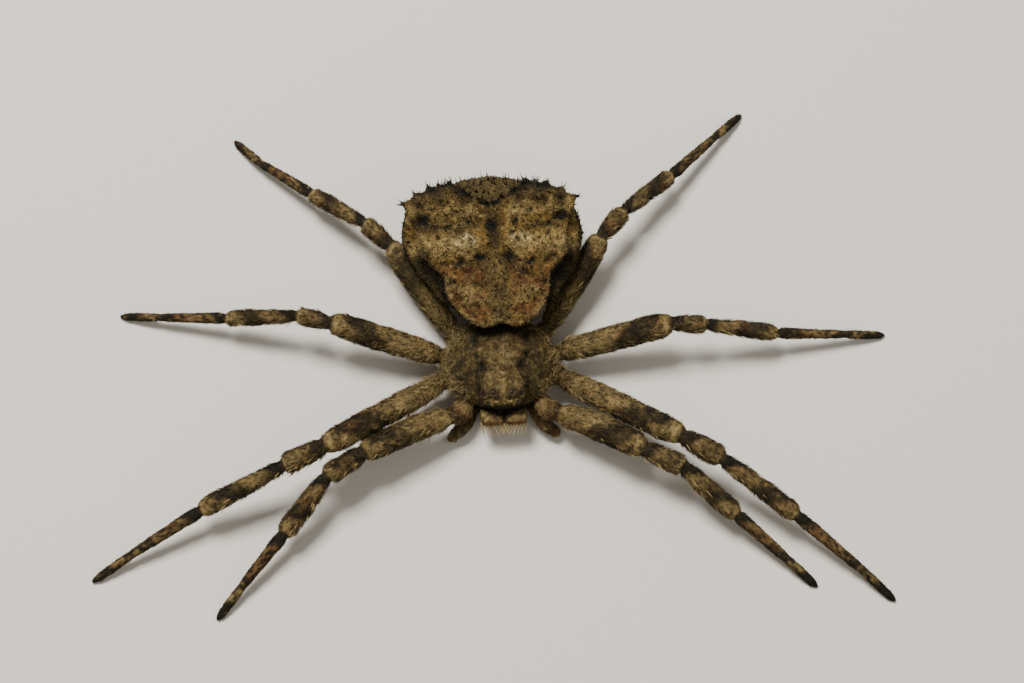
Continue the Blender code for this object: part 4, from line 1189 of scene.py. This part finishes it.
def hair_mesh(name, paths, widths, out, colours, tips, charts):
    """Closed, tapering hairs along their paths, each charted as a small patch at its root."""
    count, stations = paths.shape[:2]
    rings = stations - 1
    paths = paths.copy()
    paths[..., 2] = np.maximum(paths[..., 2], LOWEST)
    way = unit(np.gradient(paths, axis=1))[:, :rings]
    side = unit(np.cross(way, out[:, None]))
    rise = np.cross(side, way)
    taper = np.linspace(1.0, 0.35, rings)[None, :, None, None]
    angles = (circle(RING_SIDES) + math.pi / 2.0)[:, None]
    reach = side[:, :, None] * np.cos(angles) + rise[:, :, None] * np.sin(angles) * 0.7
    ring_points = paths[:, :rings, None] + reach * taper * widths[:, None, None, None] / 2.0
    points = np.concatenate([ring_points.reshape(count, -1, 3), paths[:, -1:]], axis=1)
    each = points.shape[1]
    pattern = hair_pattern(rings)
    faces = (pattern[None] + np.arange(count)[:, None, None] * each).reshape(-1, 3)
    patch = [(i / RING_SIDES - 0.5, ring / rings - 0.5) for ring in range(rings) for i in range(RING_SIDES)]
    spots = stretched(charts)[:, None] + np.array([*patch, (0.0, 0.5)]) * PATCH
    share = np.repeat(np.linspace(0.0, 1.0, stations), [RING_SIDES] * rings + [1])[None, :, None]
    marks = colours[:, None] * (1.0 - share) + tips[:, None] * share
    roots = np.broadcast_to(paths[:, :1], points.shape)
    return build_mesh(name, points.reshape(-1, 3), [faces], [spots[:, pattern.ravel()]],
                      marks.reshape(-1, 3), roots.reshape(-1, 3))


def stretched(charts):
    """Spread a coat's places over the whole of its map."""
    low = charts.min(axis=0)
    return 0.01 + 0.98 * (charts - low) / np.maximum(charts.max(axis=0) - low, 1e-6)


def gather(groups):
    """Join roots from several surfaces, with their marks."""
    marks = np.concatenate([marks_of(group) for group in groups])
    return Roots(*(np.concatenate(column) for column in list(zip(*groups))[:-1]), ""), marks


def lie_along(roots, way, turn, draw):
    """Directions close to a lie, kept in the surface and turned aside at random."""
    flat = way - roots.out * np.sum(way * roots.out, axis=1, keepdims=True)
    flat = unit(flat + 1e-6 * roots.around)
    side = np.cross(roots.out, flat)
    turn = draw.normal(0.0, turn, (len(flat), 1))
    return flat * np.cos(turn) + side * np.sin(turn)


def curved_paths(roots, way, lengths, lift, bend, curl, stations, sunk=0.02):
    """Paths that leave the skin at a lift and bend down or curl aside as they go."""
    side = np.cross(roots.out, way)
    paths = [roots.points - roots.out * sunk]
    step = (lengths / (stations - 1))[:, None]
    for share in np.linspace(0.0, 1.0, stations - 1):
        angle = (lift - bend * share)[:, None]
        aside = (curl * share)[:, None]
        level = way * np.cos(angle) * np.cos(aside) + side * np.cos(angle) * np.sin(aside)
        paths.append(paths[-1] + (level + roots.out * np.sin(angle)) * step)
    return np.stack(paths, axis=1)


def hair_colours(marks, draw, pale_share, dark_share):
    """Vary the marks from hair to hair, with some hairs pale and some dark."""
    count = len(marks)
    colours = marks * draw.uniform(0.5, 1.6, (count, 1))
    pick = draw.random(count)
    pale = (pick < pale_share)[:, None]
    dark = (pick > 1.0 - dark_share)[:, None]
    straw = shade("straw") * draw.uniform(0.6, 1.15, (count, 1))
    soot = shade("soot") * draw.uniform(0.7, 1.4, (count, 1))
    light = np.clip(0.14 + 13.0 * marks.mean(axis=1, keepdims=True), 0.0, 1.05)
    return np.where(dark, soot, np.where(pale, colours * 0.5 + straw * 0.5 * light, colours))


def grow(name, roots, marks, draw, style, lie, longer=1.0, raised=0.0, size=None):
    """One piece of coat: hairs that grow from the roots in a style."""
    sizes = bpy.context.scene.spider_sizes
    length, width = size or (sizes.hair_length / MM, sizes.hair_width / MM)
    count = len(marks)
    way = lie_along(roots, lie, style.turn, draw)
    lengths = length * draw.uniform(*style.long, count) * longer
    lift = np.radians(draw.uniform(*style.lift, count) + raised)
    bend = lift * (draw.uniform(*style.bend, count) if isinstance(style.bend, tuple) else style.bend)
    paths = curved_paths(roots, way, lengths, lift, bend, draw.normal(0.0, style.curl, count), style.points)
    widths = width * draw.uniform(*style.wide, count)
    colours = hair_colours(marks, draw, style.pale, style.dark)
    # Each hair is painted darker at its root and paler at its tip: painted shade and light that give the
    # coat depth.
    mesh = hair_mesh(name, paths, widths, roots.out, colours * 0.55, colours * 1.2, roots.chart)
    add_piece(name, mesh, [hair_material("hair", 0.6)])


def with_ends(values, count):
    """Values at a grid's points, followed by the means of its first and its last ring."""
    return np.concatenate([values, [values[:count].mean(axis=0), values[-count:].mean(axis=0)]])


class SPIDER_OT_skin(bpy.types.Operator):
    """One skin over the abdomen, carapace, jaws, palps and legs"""

    bl_idname = "spider.skin"
    bl_label = "Skin"

    def execute(self, context):
        kinds = ["abdomen", "carapace", "leg", "jaw"]
        rows = []
        first = 0
        for grid in all_grids():
            count = grid.points.shape[1]
            points = with_ends(grid.points.reshape(-1, 3), count)
            colours = with_ends(marks_of(grid), count)
            quads, charts = grid.faces(first)
            caps, cap_charts = grid.caps(first, first + len(points) - 2)
            kind = kinds.index(grid.kind if grid.kind in kinds else "leg")
            rows.append((points, colours, quads, caps, charts, cap_charts, np.full(len(quads), kind),
                         np.full(len(caps), kind)))
            first += len(points)
        points, marks, quads, caps, charts, cap_charts, slots, cap_slots = map(np.concatenate, zip(*rows))
        mesh = build_mesh("skin", points, [quads, caps], [charts, cap_charts], marks, points,
                          np.concatenate([slots, cap_slots]))
        mesh.shade_smooth()
        materials = [coat_material(f"{kind} skin", 0.82, 0.09, 0.05) for kind in kinds]
        nodes = [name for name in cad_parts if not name.startswith(("eye", "fang"))]
        add_piece("skin", mesh, materials, nodes)
        return {"FINISHED"}


def shield_weight(points, facts):
    return ease(-0.02, 0.0, facts[..., 3])


def wall_weight(points, facts):
    """Fewer hairs under the belly than up the walls."""
    return ease(0.0, -0.02, facts[..., 3]) * (0.15 + 0.85 * ease(1.2, 3.0, points[..., 2]))


def rim_weight(points, facts):
    return stretch(-0.03, 0.0, 0.01, 0.05, facts[..., 3])


class SPIDER_OT_abdomen_coat(bpy.types.Operator):
    """Short curled hairs over the abdomen's shield and walls"""

    bl_idname = "spider.abdomen_coat"
    bl_label = "Abdomen coat"

    def execute(self, context):
        sizes = context.scene.spider_sizes
        draw = np.random.default_rng(SEED + 1)
        for name, count, weigh, style in (
            ("shield_coat", sizes.shield_hairs, shield_weight, ABDOMEN_STYLE),
            ("wall_coat", sizes.wall_hairs, wall_weight, ABDOMEN_STYLE),
            ("rim_coat", sizes.rim_hairs, rim_weight, RIM_STYLE),
        ):
            roots, marks = gather([abdomen()[0].scatter(count, draw, weigh)])
            outward = roots.points - np.array([0.0, ABDOMEN_MIDDLE_Y, 0.0])
            lie = outward if name == "rim_coat" else np.array([[0.0, 1.0, -0.2]])
            grow(name, roots, marks, draw, style, lie)
        return {"FINISHED"}


class SPIDER_OT_carapace_coat(bpy.types.Operator):
    """Short hairs over the carapace"""

    bl_idname = "spider.carapace_coat"
    bl_label = "Carapace coat"

    def execute(self, context):
        draw = np.random.default_rng(SEED + 2)
        count = context.scene.spider_sizes.carapace_hairs
        roots, marks = gather([carapace().scatter(count, draw, lambda p, f: ease(-0.11, 0.0, f[..., 3]))])
        ahead = stacked(-roots.points[:, 0] * 0.5, -1.0, 0.0)
        grow("carapace_coat", roots, marks, draw, CARAPACE_STYLE, ahead)
        return {"FINISHED"}


def bare_groove(facts):
    """How near each place lies to the groove behind the lump of a first leg's hip, from 0 to 1."""
    return (facts[..., 3] == 1.0) * bell((facts[..., 0] - LUMP_END) / 0.022)


def leg_weight(points, facts):
    """More hairs on top and at the edges than under a leg, and none inside the body."""
    shares = (0.45 + 0.55 * ease(-0.7, 0.0, facts[..., 2])) * ease(-0.75, -0.4, facts[..., 0])
    return shares * (1.0 - 0.9 * bare_groove(facts))


class SPIDER_OT_leg_coat(bpy.types.Operator):
    """Hairs along the legs, longest at their edges"""

    bl_idname = "spider.leg_coat"
    bl_label = "Leg coat"

    def execute(self, context):
        count = context.scene.spider_sizes.leg_hairs
        for number in PAIRS:
            draw = np.random.default_rng(SEED + 10 + number)
            roots, marks = gather([leg(number, side).scatter(count, draw, leg_weight) for side in SIDES])
            edge = np.abs(roots.facts[:, 1]) ** 3
            place = roots.facts[:, 0]
            thin = (1.0 - 0.5 * ease(2.6, 3.4, place)) * (1.0 - 0.45 * ease(0.86, 0.96, place % 1.0))
            grow(f"leg_{number}_coat", roots, marks, draw, LEG_STYLE, roots.along,
                 (1.0 + 0.7 * edge) * thin, 10.0 * edge)
        return {"FINISHED"}


class SPIDER_OT_small_coat(bpy.types.Operator):
    """Short hairs over the jaws, palps, waist and spinnerets"""

    bl_idname = "spider.small_coat"
    bl_label = "Small parts' coat"

    def execute(self, context):
        draw = np.random.default_rng(SEED + 7)
        for name, kinds, slot, count, long in (
            ("jaw_coat", ("jaw",), "jaw", 1300, (0.375, 0.75)),
            ("palp_coat", ("palp",), "leg_coat", 1700, (0.6, 1.2)),
            ("waist_coat", ("pedicel", "spinneret"), "abdomen_coat", 250, (0.45, 0.9)),
        ):
            roots, marks = gather([grid.scatter(count, draw) for grid in all_grids() if grid.kind in kinds])
            lie = -roots.along if name == "jaw_coat" else roots.along
            grow(name, roots, marks, draw, SMALL_STYLE._replace(long=long), lie)
        return {"FINISHED"}


def base_weight(points, facts):
    """Most long hairs near the hips, fewer along the femora's edges."""
    place = facts[..., 0]
    near = stretch(-0.6, -0.2, 0.05, 0.45, place)
    rest = 0.15 * stretch(-0.2, 0.1, 0.9, 1.6, place) * np.abs(facts[..., 1]) ** 2
    thinned = 1.0 - 0.6 * (facts[..., 3] == 1.0) * stretch(-0.1, 0.0, 0.15, 0.2, place)
    return (near + rest) * ease(-0.5, 0.1, facts[..., 2]) * thinned * (1.0 - bare_groove(facts))


def margin_weight(points, facts):
    """Long hairs round the carapace's sides, over the leg bases."""
    return stretch(-0.05, 0.0, 0.03, 0.22, facts[..., 3]) * ease(1.5, 2.3, np.abs(points[..., 0]))


class SPIDER_OT_long_hairs(bpy.types.Operator):
    """Long wavy hairs round the leg bases and along the femora"""

    bl_idname = "spider.long_hairs"
    bl_label = "Long hairs"

    def execute(self, context):
        count = context.scene.spider_sizes.long_hairs
        draw = np.random.default_rng(SEED + 5)
        groups = [leg(*key).scatter(count, draw, base_weight) for key in HEADINGS]
        body = carapace().scatter(count * 2, draw, margin_weight)
        roots, marks = gather([*groups, body._replace(along=unit(body.points * np.array([1.0, 1.0, 0.0])))])
        place = roots.facts[:, 0]
        first_leg = roots.facts[:, 3] == 1.0
        longer = (1.0 - 0.3 * ease(0.1, 0.6, place)) * (1.0 - 0.5 * first_leg * ease(0.25, 0.15, place))
        marks = 0.5 * marks + 0.5 * shade("straw")
        grow("long_hairs", roots, marks, draw, LONG_STYLE, roots.along, longer, size=(1.0, 1.0))
        return {"FINISHED"}


def crest_weight(points, facts):
    """Spines stand along the back of the abdomen, between its wall and shield."""
    return ease(9.9, 10.5, facts[..., 1]) * stretch(-0.36, -0.3, -0.24, -0.18, facts[..., 3])


def chart_near(grid, spots):
    """The place on the grid's chart of the point nearest to each spot."""
    points = grid.points.reshape(-1, 3)
    tree = KDTree(len(points))
    for i, point in enumerate(points):
        tree.insert(point, i)
    tree.balance()
    nearest = np.array([tree.find(spot)[1] for spot in spots])
    return grid.chart[:, :-1].reshape(-1, 2)[nearest]


class SPIDER_OT_bristles(bpy.types.Operator):
    """Dark bristles on the abdomen's knobs and warts"""

    bl_idname = "spider.bristles"
    bl_label = "Bristles"

    def execute(self, context):
        sizes = context.scene.spider_sizes
        draw = np.random.default_rng(SEED + 3)
        grid, knobs, warts = abdomen()
        spots, ways = [], []
        for foot, axis, radius, height in [knob for knob in knobs for _ in range(5)]:
            aside = draw.normal(0.0, 0.3, 3)
            spots.append(foot + axis * height * draw.uniform(0.5, 0.95) + aside * radius * 0.35)
            ways.append(axis + aside)
        for foot, axis, radius, height in [wart for wart in warts for _ in range(2)]:
            aside = draw.normal(0.0, 0.3, 3)
            spots.append(foot + axis * height * 0.4 + aside * radius * 0.4)
            ways.append(axis + aside + np.array([0.0, 0.35, 0.0]))
        crest = grid.scatter(REAR_SPINES, draw, crest_weight)
        spots = np.concatenate([spots, crest.points])
        ways = unit(np.concatenate([ways, crest.out + np.array([0.0, 0.7, 0.5])]))
        count = len(spots)
        rear = ease(8.5, 9.5, spots[:, 1])
        lengths = sizes.bristle_length / MM * draw.uniform(0.6, 1.2, count) * (1.0 + 0.4 * rear)
        reach = ways * lengths[:, None]
        bend = np.array([[0.0, 0.125, 0.0]]) * lengths[:, None]
        paths = np.stack([spots - ways * 0.08, spots + reach * 0.5, spots + reach + bend], axis=1)
        colours = shade("soot") * draw.uniform(0.6, 1.5, (count, 1))
        side = unit(np.cross(ways, np.array([0.3, 0.9, 0.1])))
        widths = sizes.bristle_width / MM * draw.uniform(0.8, 1.2, count) * (1.0 + 0.3 * rear)
        mesh = hair_mesh("bristles", paths, widths, side, colours, colours, chart_near(grid, spots))
        add_piece("bristles", mesh, [hair_material("bristle", 0.45)])
        return {"FINISHED"}


def stout_bristles(name, spots, ways, lengths, width, draw):
    """Stout pale bristles that stand on their spots and droop a little."""
    count = len(spots)
    lengths = lengths[:, None]
    droop = -0.15 * UP * lengths
    paths = np.stack([spots - ways * 0.1 + (ways * (lengths + 0.1) + droop * share) * share
                      for share in np.linspace(0.0, 1.0, 5)], axis=1)
    colours = shade("straw") * draw.uniform(0.9, 1.4, (count, 1))
    row = np.linspace((0.0, 0.0), (1.0, 1.0), count)
    widths = np.full(count, width)
    mesh = hair_mesh(name, paths, widths, np.tile(UP, (count, 1)), colours, colours * 1.5, row)
    add_piece(name, mesh, [hair_material("bristle", 0.45)])


class SPIDER_OT_fringe(bpy.types.Operator):
    """Pale bristles along the front of the jaws, leaning in to the middle"""

    bl_idname = "spider.fringe"
    bl_label = "Jaw fringe"

    def execute(self, context):
        draw = np.random.default_rng(SEED + 4)
        share = np.linspace(-1.0, 1.0, FRINGE_COUNT)
        front = FRINGE_FRONT - 0.06 * (1.0 - share ** 2)
        spots = stacked(share * FRINGE_HALF_WIDTH, front, FRINGE_HEIGHT)
        lean = -np.sign(share) * (0.25 + 0.55 * (1.0 - np.abs(share)))
        ways = unit(stacked(lean * draw.uniform(0.8, 1.2, FRINGE_COUNT), -1.0, -0.6))
        lengths = draw.uniform(0.7, 0.92, FRINGE_COUNT)
        stout_bristles("jaw_fringe", spots, ways, lengths, FRINGE_WIDTH, draw)
        return {"FINISHED"}


class SPIDER_OT_edge_bristles(bpy.types.Operator):
    """Pale bristles along the front edges of the legs"""

    bl_idname = "spider.edge_bristles"
    bl_label = "Edge bristles"

    def execute(self, context):
        draw = np.random.default_rng(SEED + 6)
        spots, ways = [], []
        for number, side in HEADINGS:
            grid = leg(number, side)
            _, along, out = grid.directions()
            for place in draw.uniform(0.1, 2.95, 30 if number < 3 else 14):
                ring = int(np.argmin(np.abs(grid.facts[:, 0, 0] - place)))
                column = (int(np.argmin(grid.points[ring, :, 1])) + draw.integers(-3, 4)) % LEG_SIDES
                spots.append(grid.points[ring, column])
                ways.append(out[ring, column] * draw.uniform(0.3, 0.8) + along[ring, column])
        spots, ways = np.array(spots), unit(np.array(ways))
        lengths = draw.uniform(0.3, 0.62, len(spots))
        stout_bristles("edge_bristles", spots, ways, lengths, EDGE_BRISTLE_WIDTH, draw)
        return {"FINISHED"}


class SPIDER_OT_claws(bpy.types.Operator):
    """Two small dark claws at the tip of each leg"""

    bl_idname = "spider.claws"
    bl_label = "Claws"

    def execute(self, context):
        paths, outs = [], []
        for key in HEADINGS:
            *_, before, tip = leg_joints(*key)
            way = unit(tip - before) * np.array([1.0, 1.0, 0.0])
            across = np.cross(way, UP)
            for hand in (-1.0, 1.0):
                paths.append([tip + way * ahead + across * hand * aside + UP * above
                              for ahead, aside, above in CLAW_PATH])
                outs.append(across)
        paths, outs = np.array(paths), np.array(outs)
        count = len(paths)
        colours = np.tile(shade("soot"), (count, 1))
        row = np.linspace((0.0, 0.0), (1.0, 1.0), count)
        mesh = hair_mesh("claws", paths, np.full(count, CLAW_WIDTH), outs, colours, colours, row)
        add_piece("claws", mesh, [hair_material("claw", 0.3)])
        return {"FINISHED"}


EYE_COLOUR = (0.014, 0.009, 0.005, 1.0)
FANG_COLOURS = ((0.02, 0.008, 0.004, 1.0), (0.06, 0.022, 0.01, 1.0))


class SPIDER_OT_eyes(bpy.types.Operator):
    """Glossy dark eyes and fangs"""

    bl_idname = "spider.eyes"
    bl_label = "Eyes and fangs"

    def execute(self, context):
        eye = Finish("eye").surface(Base_Color=EYE_COLOUR, Roughness=0.42, Specular_IOR_Level=0.35)
        finish = Finish("fang")
        clouds = finish.noise(finish.node("ShaderNodeTexCoord", output="Object"), 4000.0)
        fang = finish.surface(Base_Color=finish.mixed(clouds, *FANG_COLOURS), Roughness=0.25)
        for name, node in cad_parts.items():
            if name.startswith(("eye", "fang")):
                node.data.materials.clear()
                node.data.materials.append(eye if name.startswith("eye") else fang)
        return {"FINISHED"}


# Half the floor's width in metres.
FLOOR_HALF = 0.6
# The spot on the spider that the lights and the camera point at, in millimetres.
TARGET = (0.668, 1.779, 1.5)
ROOM_COLOUR = (1.0, 0.95, 0.86, 1.0)
# The name, size and place of each light, in metres.
LIGHTS = (("key", 0.1, (-0.07, 0.12, 0.26)), ("fill", 0.3, (0.2, -0.18, 0.25)))


def face(thing, way):
    """Turn a light or the camera to look along a direction."""
    thing.rotation_euler = way.to_track_quat("-Z", "Y").to_euler()


class SPIDER_OT_stage(bpy.types.Operator):
    """Pale floor, soft lights and the camera"""

    bl_idname = "spider.stage"
    bl_label = "Stage"

    def execute(self, context):
        scene = context.scene
        settings = scene.spider_stage
        mesh = bpy.data.meshes.new("floor")
        corners = ((-1, -1), (1, -1), (1, 1), (-1, 1))
        mesh.from_pydata([(x * FLOOR_HALF, y * FLOOR_HALF, 0.0) for x, y in corners], [], [(0, 1, 2, 3)])
        mesh.materials.append(Finish("floor").surface(Base_Color=(*settings.floor, 1.0), Roughness=0.9))
        floor = add_object("floor", mesh)
        target = Vector(to_frame(TARGET))
        for name, size, place in LIGHTS:
            light = bpy.data.lights.new(name, "AREA")
            light.energy = getattr(settings, f"{name}_light")
            light.size = size
            lamp = add_object(name, light)
            lamp.location = place
            face(lamp, target - lamp.location)
        world = bpy.data.worlds.new("room")
        world.use_nodes = True
        background = world.node_tree.nodes["Background"]
        put(background.inputs["Color"], ROOM_COLOUR)
        put(background.inputs["Strength"], settings.room_light)
        scene.world = world
        camera = bpy.data.cameras.new("camera")
        camera.lens = settings.lens
        camera.sensor_width = 36.0
        camera.clip_start = 0.01
        camera.clip_end = 10.0
        azimuth, elevation = settings.azimuth, settings.elevation
        back = Vector((math.sin(azimuth) * math.cos(elevation), -math.cos(azimuth) * math.cos(elevation),
                       math.sin(elevation)))
        scene.camera = add_object("camera", camera)
        scene.camera.location = target + back * settings.distance
        face(scene.camera, -back)
        return {"FINISHED"}


PIECE_OPERATORS = (
    SPIDER_OT_skin, SPIDER_OT_abdomen_coat, SPIDER_OT_carapace_coat, SPIDER_OT_leg_coat, SPIDER_OT_bristles,
    SPIDER_OT_fringe, SPIDER_OT_edge_bristles, SPIDER_OT_small_coat, SPIDER_OT_long_hairs, SPIDER_OT_claws,
    SPIDER_OT_eyes, SPIDER_OT_stage,
)


class SPIDER_PT_panel(bpy.types.Panel):
    """The spider's pieces"""

    bl_label = "Spider"
    bl_idname = "SPIDER_PT_panel"
    bl_space_type = "VIEW_3D"
    bl_region_type = "UI"
    bl_category = "Spider"

    def draw(self, context):
        for operator in PIECE_OPERATORS:
            self.layout.operator(operator.bl_idname)
        scene = context.scene
        for settings in (scene.spider_sizes, scene.spider_colours, scene.spider_stage):
            for key in settings.bl_rna.properties.keys():
                if key not in ("rna_type", "name"):
                    self.layout.prop(settings, key)


CLASSES = (SpiderColours, SpiderSizes, SpiderStage, *PIECE_OPERATORS, SPIDER_PT_panel)


def register():
    for cls in CLASSES:
        bpy.utils.register_class(cls)
    bpy.types.Scene.spider_colours = PointerProperty(type=SpiderColours)
    bpy.types.Scene.spider_sizes = PointerProperty(type=SpiderSizes)
    bpy.types.Scene.spider_stage = PointerProperty(type=SpiderStage)


def unregister():
    del bpy.types.Scene.spider_stage
    del bpy.types.Scene.spider_sizes
    del bpy.types.Scene.spider_colours
    for cls in reversed(CLASSES):
        bpy.utils.unregister_class(cls)


def main():
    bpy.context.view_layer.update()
    register()
    for operator in PIECE_OPERATORS:
        group, name = operator.bl_idname.split(".")
        getattr(getattr(bpy.ops, group), name)()


if __name__ == "__main__":
    main()
